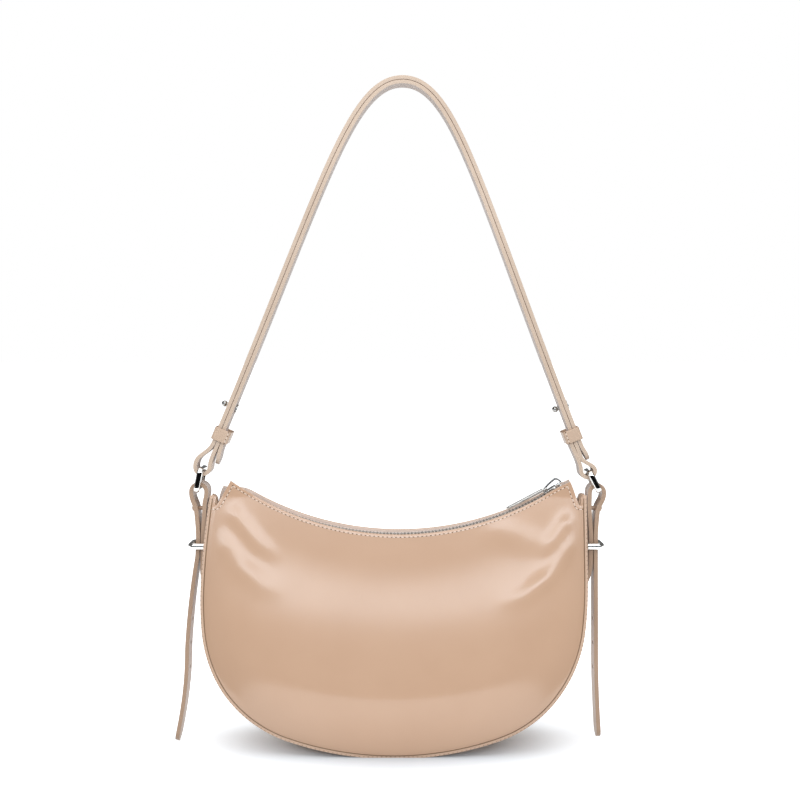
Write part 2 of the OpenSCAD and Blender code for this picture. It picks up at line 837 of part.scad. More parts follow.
stack = 3 * strap_t;
module stud_bore(s) {
    at_stud(s)
        translate([0, 0, -2 * stack])
            cylinder(d = shank_d + 2 * bore_gap, h = 3 * stack);
}

module outer_strap() {
    color(leather)
        difference() {
            along_y(ribbon(outer_path(), strap_t), strap_w);
            stud_bore(-1);
            stud_bore(1);
        }
}

module inner_strap() {
    color(leather)
        difference() {
            along_y(ribbon(inner_path(), strap_t), strap_w);
            stud_bore(-1);
            stud_bore(1);
        }
}

stud_head_d = 6.4;
stud_head_t = 1;
ball_neck = 0.6;

// Ball stud: a ball on one face, a shank through both strips and a flat head on the other face
module stud(s, depth, ball_outside) {
    color(metal)
        at_stud(s)
            translate([0, 0, ball_outside ? 0 : -depth])
                mirror([0, 0, ball_outside ? 0 : 1]) {
                    translate([0, 0, -depth - ply_gap - stud_head_t])
                        cylinder(d = stud_head_d, h = stud_head_t);
                    translate([0, 0, -depth - ply_gap - stud_head_t])
                        cylinder(d = shank_d, h = depth + stud_head_t + ply_gap + ball_neck + ball_d / 2);
                    translate([0, 0, ball_neck + ball_d / 2])
                        sphere(d = ball_d);
                }
}

// Rectangle with round corners
module round_rect(w, h, r) {
    square([w - 2 * r, h], center = true);
    square([w, h - 2 * r], center = true);
    for (x = [-1, 1])
        for (y = [-1, 1])
            translate([x * (w / 2 - r), y * (h / 2 - r)])
                circle(r = r);
}

module strap_keeper(s) {
    inner_w = 2 * strap_lane + strap_t + 2 * keeper_room;
    inner_d = strap_w + 2 * keeper_room;
    color(leather)
        translate([s * keeper_x, 0, keeper_z])
            rotate([0, s < 0 ? lean_left : -lean_right, 0])
                linear_extrude(keeper_h, center = true)
                    difference() {
                        round_rect(inner_w + 2 * keeper_wall, inner_d + 2 * keeper_wall, keeper_wall);
                        square([inner_w, inner_d], center = true);
                    }
}

module on_left() {
    mirror([1, 0, 0])
        children();
}

front_panel();
back_panel();
gusset();
front_lining();
back_lining();
gusset_lining();
base_board();
inner_pocket();
front_zip_tape();
back_zip_tape();
front_zip_teeth();
back_zip_teeth();
zip_stops();
zip_slider();
zip_puller();
on_left() side_strap();  // side_strap_left
side_strap();  // side_strap_right
on_left() side_tail();  // side_tail_left
side_tail();  // side_tail_right
on_left() side_loop();  // side_loop_left
side_loop();  // side_loop_right
on_left() side_rivet();  // side_rivet_left
side_rivet();  // side_rivet_right
on_left() keeper_ring();  // keeper_ring_left
keeper_ring();  // keeper_ring_right
on_left() link_ring(link_lean_left);  // link_left
link_ring(link_lean_right);  // link_right
outer_strap();
inner_strap();
stud(-1, strap_lane + strap_t, true);  // stud_left
stud(1, strap_lane + strap_t, false);  // stud_right
strap_keeper(-1);  // strap_keeper_left
strap_keeper(1);  // strap_keeper_right
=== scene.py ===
"""Half moon shoulder bag in smooth leather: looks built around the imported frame."""
import math
from contextlib import contextmanager

import bpy
import numpy as np
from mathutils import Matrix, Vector


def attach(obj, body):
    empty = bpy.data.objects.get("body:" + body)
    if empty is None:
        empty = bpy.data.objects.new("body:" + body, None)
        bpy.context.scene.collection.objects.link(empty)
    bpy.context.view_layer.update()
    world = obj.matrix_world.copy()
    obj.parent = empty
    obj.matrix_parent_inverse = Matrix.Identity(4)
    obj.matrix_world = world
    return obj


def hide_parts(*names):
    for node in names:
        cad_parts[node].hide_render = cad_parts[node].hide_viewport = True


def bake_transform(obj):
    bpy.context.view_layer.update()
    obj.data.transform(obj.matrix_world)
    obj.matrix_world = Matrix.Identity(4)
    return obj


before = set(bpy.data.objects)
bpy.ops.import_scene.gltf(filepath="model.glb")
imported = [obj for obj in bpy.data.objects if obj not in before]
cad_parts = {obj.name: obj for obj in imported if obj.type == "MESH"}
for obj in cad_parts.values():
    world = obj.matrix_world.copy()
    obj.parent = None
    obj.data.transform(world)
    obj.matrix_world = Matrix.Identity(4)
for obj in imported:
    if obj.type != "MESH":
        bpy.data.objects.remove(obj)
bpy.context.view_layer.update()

MM = 0.001

# Body, in millimetres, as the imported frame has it
BODY_W = 283.0
BOTTOM_R = 235.0
SIDE_R = 240.0
UPPER_R = 1000.0
BOTTOM_TURN = 19.0
SIDE_TURN = 7.7
REST_HALF = 25.0
BOTTOM_HALF = 37.0
TOP_HALF = 8.6
MOUTH_Z = 156.3
MOUTH_R = 219.0
MOUTH_CZ = MOUTH_Z + MOUTH_R
CORNER_X = BODY_W / 2 - 17.1
CORNER_TURN = math.degrees(math.asin(CORNER_X / MOUTH_R))
CORNER_Z = MOUTH_CZ - math.sqrt(MOUTH_R ** 2 - CORNER_X ** 2)
GUSSET_TOP = 184.0
PANEL_T = 1.6
RIM = 3.2
FLANGE_H = 3.0
PLY_GAP = 0.15
FLANGE_AT = PANEL_T + PLY_GAP
LINING_AT = FLANGE_AT + PANEL_T + PLY_GAP
LINING_T = 0.7
LINING_TOP = 140.3
STRAP_T = 3.0
STRAP_W = 15.0
WEDGE_LOW = 6.0
EASE_SHARE = 0.3
NOTCH_Z = 177.5
NOTCH_X = 133.4
TONGUE_W = 2.0

# Outline of the half moon: bottom, shoulder, side and upper arcs
SHOULDER_R = ((BODY_W / 2 - SIDE_R * (1 - math.cos(math.radians(SIDE_TURN)))
               - BOTTOM_R * math.sin(math.radians(BOTTOM_TURN)))
              / (math.cos(math.radians(SIDE_TURN)) - math.sin(math.radians(BOTTOM_TURN))))
BOTTOM_CZ = math.sqrt(BOTTOM_R ** 2 - REST_HALF ** 2)
SHOULDER_CX = (BOTTOM_R - SHOULDER_R) * math.sin(math.radians(BOTTOM_TURN))
SHOULDER_CZ = BOTTOM_CZ - (BOTTOM_R - SHOULDER_R) * math.cos(math.radians(BOTTOM_TURN))
SIDE_CX = SHOULDER_CX - (SIDE_R - SHOULDER_R) * math.cos(math.radians(SIDE_TURN))
SIDE_CZ = SHOULDER_CZ + (SIDE_R - SHOULDER_R) * math.sin(math.radians(SIDE_TURN))
UPPER_CX = SIDE_CX + SIDE_R - UPPER_R


def side_half(z, inset):
    """Half the body's width at height z on the side and upper arcs."""
    if z < SIDE_CZ:
        return SIDE_CX + math.sqrt((SIDE_R - inset) ** 2 - (z - SIDE_CZ) ** 2)
    return UPPER_CX + math.sqrt((UPPER_R - inset) ** 2 - (z - SIDE_CZ) ** 2)


def arc_rows(cx, cz, r, low, high, count):
    a = np.radians(np.linspace(low, high, count))
    return np.stack([cx + r * np.cos(a), cz + r * np.sin(a), np.cos(a), np.sin(a)], 1)


def right_outline(inset, top):
    """Right half of the outline from the bottom up to height top, as (x, z, nx, nz)."""
    last = math.degrees(math.asin((top - SIDE_CZ) / (UPPER_R - inset)))
    return np.concatenate([
        arc_rows(0, BOTTOM_CZ, BOTTOM_R - inset, -90, BOTTOM_TURN - 90, 16)[:-1],
        arc_rows(SHOULDER_CX, SHOULDER_CZ, SHOULDER_R - inset, BOTTOM_TURN - 90, -SIDE_TURN,
                 34)[:-1],
        arc_rows(SIDE_CX, SIDE_CZ, SIDE_R - inset, -SIDE_TURN, 0, 12)[:-1],
        arc_rows(UPPER_CX, SIDE_CZ, UPPER_R - inset, 0, last, 20)])


def whole_outline(inset, top):
    """Outline from the upper left round the bottom to the upper right."""
    right = right_outline(inset, top)
    left = right[:0:-1] * np.array([-1, 1, -1, 1])
    return np.concatenate([left, right])


def along(rows, share):
    """Rows of numbers read at equal lengths along the polyline of their first two columns."""
    steps = np.hypot(*np.diff(rows[:, :2], axis=0).T)
    run = np.concatenate([[0], np.cumsum(steps)]) / steps.sum()
    return np.array([np.interp(share, run, rows[:, k]) for k in range(rows.shape[1])]).T


def smooth(t):
    t = np.clip(t, 0, 1)
    return t * t * (3 - 2 * t)


def wedge(t):
    t = np.clip(t, 0, 1)
    flat = 1 - EASE_SHARE / 2
    return np.where(t < EASE_SHARE, t * t / (2 * EASE_SHARE * flat), (t - EASE_SHARE / 2) / flat)


def half_depth(z):
    """Half the body's depth at height z."""
    return BOTTOM_HALF - (BOTTOM_HALF - TOP_HALF) * wedge(
        (np.asarray(z, float) - WEDGE_LOW) / (GUSSET_TOP - WEDGE_LOW))


def mouth_point(turn, sink):
    """Point below the arched mouth's edge by sink, at an angle from the middle."""
    a = np.radians(turn)
    return (MOUTH_R + sink) * np.sin(a), MOUTH_CZ - (MOUTH_R + sink) * np.cos(a)


def below_mouth(x, z):
    return np.hypot(x, z - MOUTH_CZ) - MOUTH_R


# How the filled bag has sagged: the whole body leans a little to one side, by an amount for each
# height, and three upper corners are pulled. Every piece that is sewn to the body takes it.
LEAN_Z = [0, 45, 80, 110, 140, 160, 175, 185, 196]
LEAN_X = [-2.4, -3.1, -2.6, -2.2, -1.7, -1.0, -0.4, 0.5, 1.7]
MOUTH_LEAN = 1.7
LEAN_FADE = 22.0
# Pulled corners: side, back or front, how far in X and Z, and reach
PULLS = ((-1, 1, -7.4, -5.2, 17.0), (1, -1, 1.6, -0.6, 13.0), (1, 1, 2.8, -0.6, 13.0))
PULL_END = 139.5
PULL_TAPER = 2.4


def sagged(points):
    """Points of the CAD shape moved to where the filled leather lies."""
    points = np.array(points, float)
    x, y, z = points.T
    near = np.exp(-np.maximum(below_mouth(x, z), 0) / LEAN_FADE)
    lean = near * MOUTH_LEAN + (1 - near) * np.interp(z, LEAN_Z, LEAN_X)
    moved = np.stack([x + lean, y, z], 1)
    for side, back, across, up, reach in PULLS:
        inward = CORNER_X - side * x
        from_corner = np.hypot(np.where(inward > 0, PULL_TAPER, 1.0) * inward, z - CORNER_Z)
        pull = (smooth((back * y + 1) / 7) * np.exp(-(from_corner / reach) ** 2)
                * smooth((PULL_END - side * x) / 6))
        moved += pull[:, None] * np.array([across, 0, up])
    return moved


# Making pieces

def clear_selection():
    if bpy.context.mode != "OBJECT":
        bpy.ops.object.mode_set(mode="OBJECT")
    bpy.ops.object.select_all(action="DESELECT")


def only(obj):
    clear_selection()
    obj.select_set(True)
    bpy.context.view_layer.objects.active = obj


def get_points(obj):
    spots = np.empty(len(obj.data.vertices) * 3)
    obj.data.vertices.foreach_get("co", spots)
    return spots.reshape(-1, 3) / MM


def set_points(obj, points):
    obj.data.vertices.foreach_set("co", (np.asarray(points, float) * MM).reshape(-1))
    obj.data.update()


def sag(obj):
    set_points(obj, sagged(get_points(obj)))
    return obj


def apply_all(obj):
    only(obj)
    for modifier in list(obj.modifiers):
        bpy.ops.object.modifier_apply(modifier=modifier.name)


@contextmanager
def editing(obj):
    """Opens a piece in edit mode with all of it selected."""
    only(obj)
    bpy.ops.object.mode_set(mode="EDIT")
    bpy.ops.mesh.select_all(action="SELECT")
    yield
    bpy.ops.object.mode_set(mode="OBJECT")


def face_out(obj, merge=0.0):
    with editing(obj):
        if merge:
            bpy.ops.mesh.remove_doubles(threshold=merge)
        bpy.ops.mesh.normals_make_consistent(inside=False)


def soften(obj, angle):
    only(obj)
    bpy.ops.object.shade_smooth_by_angle(angle=math.radians(angle))
    return obj


def named(obj, name):
    obj.name = name
    obj.data.name = name
    return obj


def cloth_grid(name, across, up, place):
    """A grid whose points go where place(u, v) says, u and v running from 0 to 1."""
    clear_selection()
    bpy.ops.mesh.primitive_grid_add(x_subdivisions=across, y_subdivisions=up, size=1)
    obj = named(bpy.context.object, name)
    uv = np.array([v.co[:2] for v in obj.data.vertices]) + 0.5
    set_points(obj, place(uv[:, 0], uv[:, 1]))
    return obj


def round_edges(obj, width, rounds=2, angle=50):
    rounding = obj.modifiers.new("edge", "BEVEL")
    rounding.width = width * MM
    rounding.segments = rounds
    rounding.limit_method = "ANGLE"
    rounding.angle_limit = math.radians(angle)
    rounding.use_clamp_overlap = True


def thicken(obj, thickness, offset=0.0, edge=0.35, rim_slot=0, back_slot=0, rounds=2):
    """Gives leather its thickness and rounds its edges."""
    wall = obj.modifiers.new("thickness", "SOLIDIFY")
    wall.thickness = thickness * MM
    wall.offset = offset
    wall.use_even_offset = True
    wall.material_offset = back_slot
    wall.material_offset_rim = rim_slot
    if edge:
        round_edges(obj, edge, rounds)
    apply_all(obj)


def sheet(obj, materials, thickness, **edges):
    """Makes a modelled surface into a finished sheet of leather or cloth."""
    dress(obj, *materials)
    thicken(obj, thickness, **edges)
    face_out(obj)
    return soften(obj, 60)


def prism(name, outline, low, high, edge=0.3, rounds=2):
    """A plate of an outline in X and Y, from height low to high, with rounded edges."""
    clear_selection()
    bpy.ops.mesh.primitive_circle_add(vertices=len(outline), radius=1, fill_type="NGON")
    obj = named(bpy.context.object, name)
    set_points(obj, [(x, y, low) for x, y in outline])
    with editing(obj):
        bpy.ops.mesh.extrude_region_move(
            TRANSFORM_OT_translate={"value": (0, 0, (high - low) * MM)})
    face_out(obj)
    round_edges(obj, edge, rounds, angle=40)
    apply_all(obj)
    return obj


def cylinder(radius, depth, sides, turn, place=(0, 0, 0)):
    """A rod turned by angles in degrees and set at a place."""
    clear_selection()
    bpy.ops.mesh.primitive_cylinder_add(
        vertices=sides, radius=radius * MM, depth=depth * MM, location=[k * MM for k in place],
        rotation=[math.radians(k) for k in turn])
    obj = bpy.context.object
    only(obj)
    bpy.ops.object.transform_apply(location=True, rotation=True, scale=True)
    return obj


def ball(name, place, scale, segments=24, rings=16):
    """A round head from a sphere, flattened to its three half sizes."""
    clear_selection()
    bpy.ops.mesh.primitive_uv_sphere_add(segments=segments, ring_count=rings, radius=1)
    obj = named(bpy.context.object, name)
    with editing(obj):
        bpy.ops.transform.resize(value=tuple(s * MM for s in scale))
        bpy.ops.transform.translate(value=tuple(p * MM for p in place))
    return obj


def copied(name, placed, faces):
    """One mesh made of copies of a shape, from the points of each copy and the shape's faces."""
    count = len(placed[0])
    all_faces = [[k * count + i for i in face] for k in range(len(placed)) for face in faces]
    mesh = bpy.data.meshes.new(name)
    mesh.from_pydata((np.concatenate(placed) * MM).tolist(), [], all_faces)
    mesh.update()
    obj = bpy.data.objects.new(name, mesh)
    bpy.context.scene.collection.objects.link(obj)
    return obj


def one_piece(name, parts):
    clear_selection()
    for part in parts:
        part.select_set(True)
    bpy.context.view_layer.objects.active = parts[0]
    bpy.ops.object.join()
    return named(parts[0], name)


def dress(obj, *materials):
    obj.data.materials.clear()
    for material in materials:
        obj.data.materials.append(material)
    return obj


def place_piece(obj, body, slot, *nodes):
    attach(obj, body)
    if nodes:
        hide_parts(*nodes)
    return obj


# Materials

def new_material(name):
    material = bpy.data.materials.new(name)
    material.use_nodes = True
    tree = material.node_tree
    return material, tree, tree.nodes["Principled BSDF"]


def feed(tree, node, values):
    """Sets a node's inputs to numbers and colours, or links them to other nodes' outputs."""
    for socket, value in values.items():
        if isinstance(value, bpy.types.NodeSocket):
            tree.links.new(value, node.inputs[socket])
        else:
            node.inputs[socket].default_value = value


def add_node(tree, kind, values=None, **settings):
    made = tree.nodes.new("ShaderNode" + kind)
    for key, value in settings.items():
        setattr(made, key, value)
    feed(tree, made, values or {})
    return made


def object_place(tree):
    return add_node(tree, "TexCoord").outputs["Object"]


def noise(tree, where, scale, detail):
    made = add_node(tree, "TexNoise", {"Vector": where, "Scale": scale, "Detail": detail})
    return made.outputs["Fac"]


def worked(tree, operation, *values):
    return add_node(tree, "Math", dict(enumerate(values)), operation=operation).outputs[0]


def mixed(tree, factor, a, b):
    made = add_node(tree, "Mix", data_type="RGBA")
    feed(tree, made, {"Factor": factor, "A": a, "B": b})
    return made.outputs["Result"]


def ranged(tree, value, limits, **settings):
    """A value mapped from its first two limits to nought and one, or to two more limits."""
    names = ("From Min", "From Max", "To Min", "To Max")
    made = add_node(tree, "MapRange", {"Value": value, **dict(zip(names, limits))}, **settings)
    return made.outputs["Result"]


def bumped(tree, height, strength):
    made = add_node(tree, "Bump", {"Height": height, "Strength": strength, "Distance": 0.0001})
    return made.outputs["Normal"]


def effect_group(name, inputs, outputs):
    """An empty shared effect, with what it is given and the node that takes what it puts out."""
    group = bpy.data.node_groups.new(name, "ShaderNodeTree")
    for direction, sockets in (("INPUT", inputs), ("OUTPUT", outputs)):
        for title, kind in sockets:
            group.interface.new_socket(title, in_out=direction, socket_type="NodeSocket" + kind)
    return group, group.nodes.new("NodeGroupInput").outputs, group.nodes.new("NodeGroupOutput")


CLOUD_SCALE = 19
PORE_SCALE = 2600


def grain_group():
    """Shared effect: pores and fine creases of leather over a broad cloudy tone."""
    group, given, out = effect_group(
        "Leather grain",
        (("Colour", "Color"), ("Deep colour", "Color"), ("Grain size", "Float"),
         ("Roughness", "Float")),
        (("Colour", "Color"), ("Roughness", "Float"), ("Height", "Float")))
    where = object_place(group)
    clouds = noise(group, where, CLOUD_SCALE, 3)
    pores = noise(group, where, PORE_SCALE, 2)
    cells = add_node(group, "TexVoronoi", {"Vector": where, "Scale": given["Grain size"],
                                           "Smoothness": 0.6}, feature="SMOOTH_F1")
    tone = ranged(group, clouds, (0.35, 0.7))
    feed(group, out, {
        "Colour": mixed(group, tone, given["Colour"], given["Deep colour"]),
        "Roughness": worked(group, "MULTIPLY_ADD", clouds, 0.06, given["Roughness"]),
        "Height": worked(group, "MULTIPLY_ADD", pores, 0.35, cells.outputs["Distance"])})
    return group


LEATHER_GRAIN = grain_group()

# Half width of the half moon and height of its middle, in metres
RIM_ACROSS = 0.143
RIM_DOWN = 0.115


def painted_rim_shade_group():
    """Shared effect for painted shade: one towards the half moon's rim, nought in its middle."""
    group, _, out = effect_group("Painted rim shade", (), (("Rim", "Float"),))
    at = add_node(group, "SeparateXYZ", {0: object_place(group)}).outputs
    lower = worked(group, "MINIMUM", worked(group, "SUBTRACT", at["Z"], RIM_DOWN), 0.0)
    plan = add_node(group, "CombineXYZ", {"X": worked(group, "DIVIDE", at["X"], RIM_ACROSS),
                                          "Y": worked(group, "DIVIDE", lower, RIM_DOWN)})
    reach = add_node(group, "VectorMath", {0: plan.outputs[0]}, operation="LENGTH")
    feed(group, out, {"Rim": ranged(group, reach.outputs["Value"], (0.80, 1.05),
                                    interpolation_type="SMOOTHSTEP")})
    return group


PAINTED_RIM_SHADE = painted_rim_shade_group()


def leather(name, colour, deep, rough, grain, bump, coat=0.0, coat_rough=0.2, sheen=0.0,
            rim_shade_colour=None):
    material, tree, shader = new_material(name)
    grained = add_node(tree, "Group", node_tree=LEATHER_GRAIN)
    feed(tree, grained, {"Colour": (*colour, 1), "Deep colour": (*deep, 1), "Grain size": grain,
                         "Roughness": rough})
    tone = grained.outputs["Colour"]
    # Painted shade: the tone is mixed towards a darker colour near the rim, darker towards the
    # bottom and the lower sides
    if rim_shade_colour:
        rim = add_node(tree, "Group", node_tree=PAINTED_RIM_SHADE)
        tone = mixed(tree, rim.outputs["Rim"], tone, (*rim_shade_colour, 1))
    feed(tree, shader, {
        "Base Color": tone, "Roughness": grained.outputs["Roughness"],
        "Normal": bumped(tree, grained.outputs["Height"], bump), "Specular IOR Level": 0.4,
        "Coat Weight": coat, "Coat Roughness": coat_rough, "Sheen Weight": sheen})
    return material


def cloth(name, colour, deep, threads):
    """Woven cloth: two crossed sets of threads in the bump and in the tone."""
    material, tree, shader = new_material(name)
    where = object_place(tree)
    waves = [add_node(tree, "TexWave", {"Vector": where, "Scale": threads, "Distortion": 0.6},
                      bands_direction=direction).outputs["Fac"] for direction in ("X", "Z")]
    crossed = worked(tree, "MULTIPLY", *waves)
    feed(tree, shader, {"Base Color": mixed(tree, crossed, (*deep, 1), (*colour, 1)),
                        "Normal": bumped(tree, crossed, 0.5), "Roughness": 0.85,
                        "Sheen Weight": 0.2})
    return material


def polished(name, colour, rough):
    """Plated metal: a thin haze of wear changes its gloss."""
    material, tree, shader = new_material(name)
    haze = noise(tree, object_place(tree), 180, 4)
    feed(tree, shader, {"Roughness": ranged(tree, haze, (0, 1, rough * 0.7, rough * 1.5)),
                        "Base Color": (*colour, 1), "Metallic": 1})
    return material


# The panels' darker colour towards the rim is painted shade
SKIN = leather("panel_leather", (0.600, 0.372, 0.238), (0.575, 0.352, 0.222), 0.42, 1500, 0.05,
               coat=1.0, coat_rough=0.17, rim_shade_colour=(0.520, 0.318, 0.200))
GUSSET_SKIN = leather("gusset_leather", (0.640, 0.440, 0.310), (0.600, 0.405, 0.280), 0.45, 1500,
                      0.10, coat=0.3, coat_rough=0.28)
STRAP_SKIN = leather("strap_leather", (0.600, 0.430, 0.310), (0.550, 0.385, 0.275), 0.42, 1700,
                     0.15, coat=0.2, coat_rough=0.28)
# Edge paint of the side belts and keepers: a darker copy of the shoulder strap's, the darkening
# painted shade
STRAP_EDGE_SHADED = leather("strap_edge_paint_with_shade", (0.450, 0.300, 0.205), (0.400, 0.262, 0.175), 0.45, 1200,
                     0.10, coat=0.15, coat_rough=0.3)
SHOULDER_EDGE = leather("shoulder_edge_paint", (0.630, 0.480, 0.365), (0.580, 0.435, 0.325), 0.45,
                        1400, 0.06, coat=0.15, coat_rough=0.3)
GLUE = leather("glue_line", (0.130, 0.070, 0.040), (0.100, 0.050, 0.030), 0.8, 900, 0.1)
# Dark colour of the bead along the panels' rims: partly edge paint, partly painted shade of the
# seam
PANEL_EDGE_AND_SHADE = leather("panel_edge_paint_and_seam_shade", (0.300, 0.180, 0.100), (0.250, 0.145, 0.080), 0.5, 700,
                     0.2)
FLANGE_EDGE = leather("flange_edge_paint", (0.640, 0.450, 0.320), (0.580, 0.400, 0.280), 0.5, 700,
                      0.2)
SUEDE = leather("flesh_side", (0.760, 0.630, 0.550), (0.680, 0.560, 0.480), 0.85, 2400, 0.5,
                sheen=0.3)
THREAD = leather("sewing_thread", (0.860, 0.720, 0.600), (0.800, 0.650, 0.530), 0.55, 5000, 0.3,
                 sheen=0.2)
# Needle holes are flat dark discs on the surface: their darkness is painted shade of the holes
HOLE = leather("needle_hole_shade", (0.160, 0.090, 0.055), (0.120, 0.070, 0.040), 0.8, 3000, 0.2)
FLANGE_THREAD = leather("flange_thread", (0.680, 0.500, 0.380), (0.620, 0.450, 0.340), 0.55, 5000,
                        0.3)
# The flange's needle holes: a lighter painted shade
FLANGE_HOLE = leather("flange_needle_hole", (0.440, 0.300, 0.210), (0.400, 0.270, 0.190), 0.8,
                      3000, 0.2)
# Rivet heads and shaft in a leather colour
RIVET_SKIN = leather("leather_coloured_rivet", (0.560, 0.380, 0.270), (0.500, 0.330, 0.230), 0.35, 900,
                     0.08, coat=0.4)
TAPE = cloth("zip_tape_cloth", (0.840, 0.720, 0.650), (0.700, 0.590, 0.520), 900)
LINING = cloth("lining_cloth", (0.500, 0.380, 0.290), (0.400, 0.300, 0.220), 700)
BOARD = leather("board_covering", (0.42, 0.30, 0.22), (0.38, 0.27, 0.20), 0.8, 900, 0.4)
NICKEL = polished("polished_nickel", (0.78, 0.77, 0.74), 0.07)
TOOTH_METAL = polished("zip_tooth_metal", (0.70, 0.68, 0.65), 0.2)
PULLER_STEEL = polished("puller_steel", (0.92, 0.89, 0.84), 0.34)
# Metal of the studs and other frame pieces, darker than the nickel: painted dark reflection
STUD_STEEL_DARKENED = polished("stud_steel_darkened_as_reflection", (0.42, 0.41, 0.39), 0.14)
# The slider's bridge: a darker copy of the nickel, its darkness a painted dark reflection
NICKEL_PAINTED_DARK = polished("nickel_darkened_as_reflection", (0.26, 0.25, 0.24), 0.12)


# Front and back panels

def line_distance(line, x, z):
    """Distance of each point to a line of (x, z) points, and how far along it is nearest."""
    best, share = np.full(x.shape, 1e9), np.zeros(x.shape)
    line = np.asarray(line, float)
    count = len(line) - 1
    for k, ((ax, az), (dx, dz)) in enumerate(zip(line[:-1], np.diff(line, axis=0))):
        t = np.clip(((x - ax) * dx + (z - az) * dz) / (dx * dx + dz * dz), 0, 1)
        gap = np.hypot(x - ax - t * dx, z - az - t * dz)
        share = np.where(gap < best, (k + t) / count, share)
        best = np.minimum(best, gap)
    return best, share


def outline_distance(x, z, inset):
    """Distance of each point to the outline."""
    return line_distance(whole_outline(inset, GUSSET_TOP + 12)[::2, :2], x, z)[0]


BELLY = 4.0
BELLY_LOW = 20.0
BELLY_REACH = 66.0
EDGE_EASE = 44.0
CREASE_EASE = {"rim": 12.0, "mouth": 8.0}
ROLL_H = 0.5
ROLL_W = 3.5
# Soft creases that run from the upper corners into the belly: (line, height, width)
CREASES = (
    (((-126, 180), (-117, 167), (-100, 149), (-80, 136)), 0.85, 6.0),
    (((-131, 163), (-124, 149), (-113, 134), (-97, 121), (-74, 113)), 0.95, 8.0),
    (((131, 173), (122, 162), (113, 149), (107, 137)), 1.05, 6.2),
    (((132, 166), (127, 148), (113, 127), (94, 113), (69, 106)), 1.3, 6.8),
    (((114, 150), (95, 152), (76, 158), (54, 163)), 0.5, 9.0))


def creases(x, z):
    total = np.zeros(x.shape)
    for line, height, width in CREASES:
        gap, share = line_distance(line, x, z)
        fade = smooth(share / 0.3) * smooth((1 - share) / 0.45)
        total += height * fade * np.exp(-(gap / width) ** 2)
    return total


def puff(x, z):
    """How far the filled leather stands proud of the straight wedge."""
    sunk = below_mouth(x, z)
    from_rim = outline_distance(x, z, RIM)
    belly = BELLY * smooth((sunk - BELLY_LOW) / BELLY_REACH) * smooth(from_rim / EDGE_EASE)
    folds = (creases(x, z) * smooth(from_rim / CREASE_EASE["rim"])
             * smooth(sunk / CREASE_EASE["mouth"]))
    roll = ROLL_H * (1 - smooth(from_rim / ROLL_W))
    return belly + folds - roll


def face_at(x, z, sunk=0.0):
    """Points of the front face at (x, z), pressed in by sunk."""
    x, z = np.asarray(x, float), np.asarray(z, float)
    return np.stack([x, sunk - half_depth(z) - puff(x, z), np.maximum(z, 0)], 1)


NOTCH_SHARE = 5 / 63


def panel_shape(u, v):
    """Front face as a patch between the rim, the mouth and both notched side edges."""
    corners = {s: np.array([[s * side_half(NOTCH_Z, RIM), NOTCH_Z], [s * NOTCH_X, NOTCH_Z],
                            [s * CORNER_X, CORNER_Z]]) for s in (-1, 1)}
    share = np.array([0, NOTCH_SHARE, 1])
    low = along(whole_outline(RIM, NOTCH_Z), u)[:, :2]
    high = np.stack(mouth_point((2 * u - 1) * CORNER_TURN, 0), 1)
    left, right = (np.stack([np.interp(v, share, corners[s][:, k]) for k in (0, 1)], 1)
                   for s in (-1, 1))
    u, v = u[:, None], v[:, None]
    plan = ((1 - v) * low + v * high + (1 - u) * left + u * right
            - (1 - v) * ((1 - u) * corners[-1][0] + u * corners[1][0])
            - v * ((1 - u) * corners[-1][2] + u * corners[1][2]))
    return face_at(plan[:, 0], plan[:, 1])


def tongue_shape(side):
    """The narrow tongue between the notch and the rim."""
    def shape(u, v):
        u = u if side < 0 else 1 - u
        z = NOTCH_Z - 2.5 + v * (GUSSET_TOP + PANEL_T / 2 - NOTCH_Z + 2.5)
        outer = np.array([side_half(k, RIM) for k in z])
        pinch = 0.55 * smooth((v - 0.75) / 0.25)
        x = outer - TONGUE_W * (u * (1 - 2 * pinch) + pinch)
        return face_at(side * x, z, 0.04 * (1 - smooth((z - NOTCH_Z) / 0.6)))
    return shape


def mirror_y(obj):
    set_points(obj, get_points(obj) * np.array([1, -1, 1]))


def panel_piece(name, across, up, shape, back):
    obj = cloth_grid(name, across, up, shape)
    if back:
        mirror_y(obj)
        with editing(obj):
            bpy.ops.mesh.flip_normals()
    return sheet(sag(obj), (SKIN, FLANGE_EDGE, SUEDE), PANEL_T, offset=-1.0, edge=0.4,
                 rim_slot=1, back_slot=2, rounds=3)


def body_panel(word, node, back):
    skin = panel_piece(f"{word}_skin", 200, 63, panel_shape, back)
    place_piece(skin, "bag", "leather", node)
    for side, hand in ((-1, "left"), (1, "right")):
        tongue = panel_piece(f"{word}_tongue_{hand}", 4, 14, tongue_shape(side), back)
        place_piece(tongue, "bag", "leather")


body_panel("front", "front_panel", False)
body_panel("back", "back_panel", True)


# Gusset with its turned-out flanges

def gusset_profile(z):
    """Half of the gusset's cross-section: (outward, y) from the flange's tip to the middle."""
    face = float(half_depth(z)) - FLANGE_AT - PANEL_T / 2
    wall = -FLANGE_H - PANEL_T / 2
    bend = 1.4
    rows = [(-PANEL_T * 0.2, face), ((wall + bend) / 2, face), (wall + bend, face)]
    rows += [(wall + bend - bend * math.sin(a), face - bend + bend * math.cos(a))
             for a in np.radians([30, 60, 90])]
    rows += [(wall, (face - bend) * s) for s in (0.75, 0.5, 0.25, 0.0)]
    return np.array(rows)


def gusset_shape(u, v):
    rim = along(whole_outline(0, GUSSET_TOP), u)
    out = []
    for (x, z, nx, nz), w in zip(rim, v):
        rows = gusset_profile(max(z, 0))
        steps = np.linspace(0, 1, len(rows))
        share = 1 - abs(2 * w - 1)
        away = np.interp(share, steps, rows[:, 0])
        y = np.interp(share, steps, rows[:, 1])
        out.append((x + nx * away, (-1 if w < 0.5 else 1) * y, z + nz * away))
    return np.array(out)


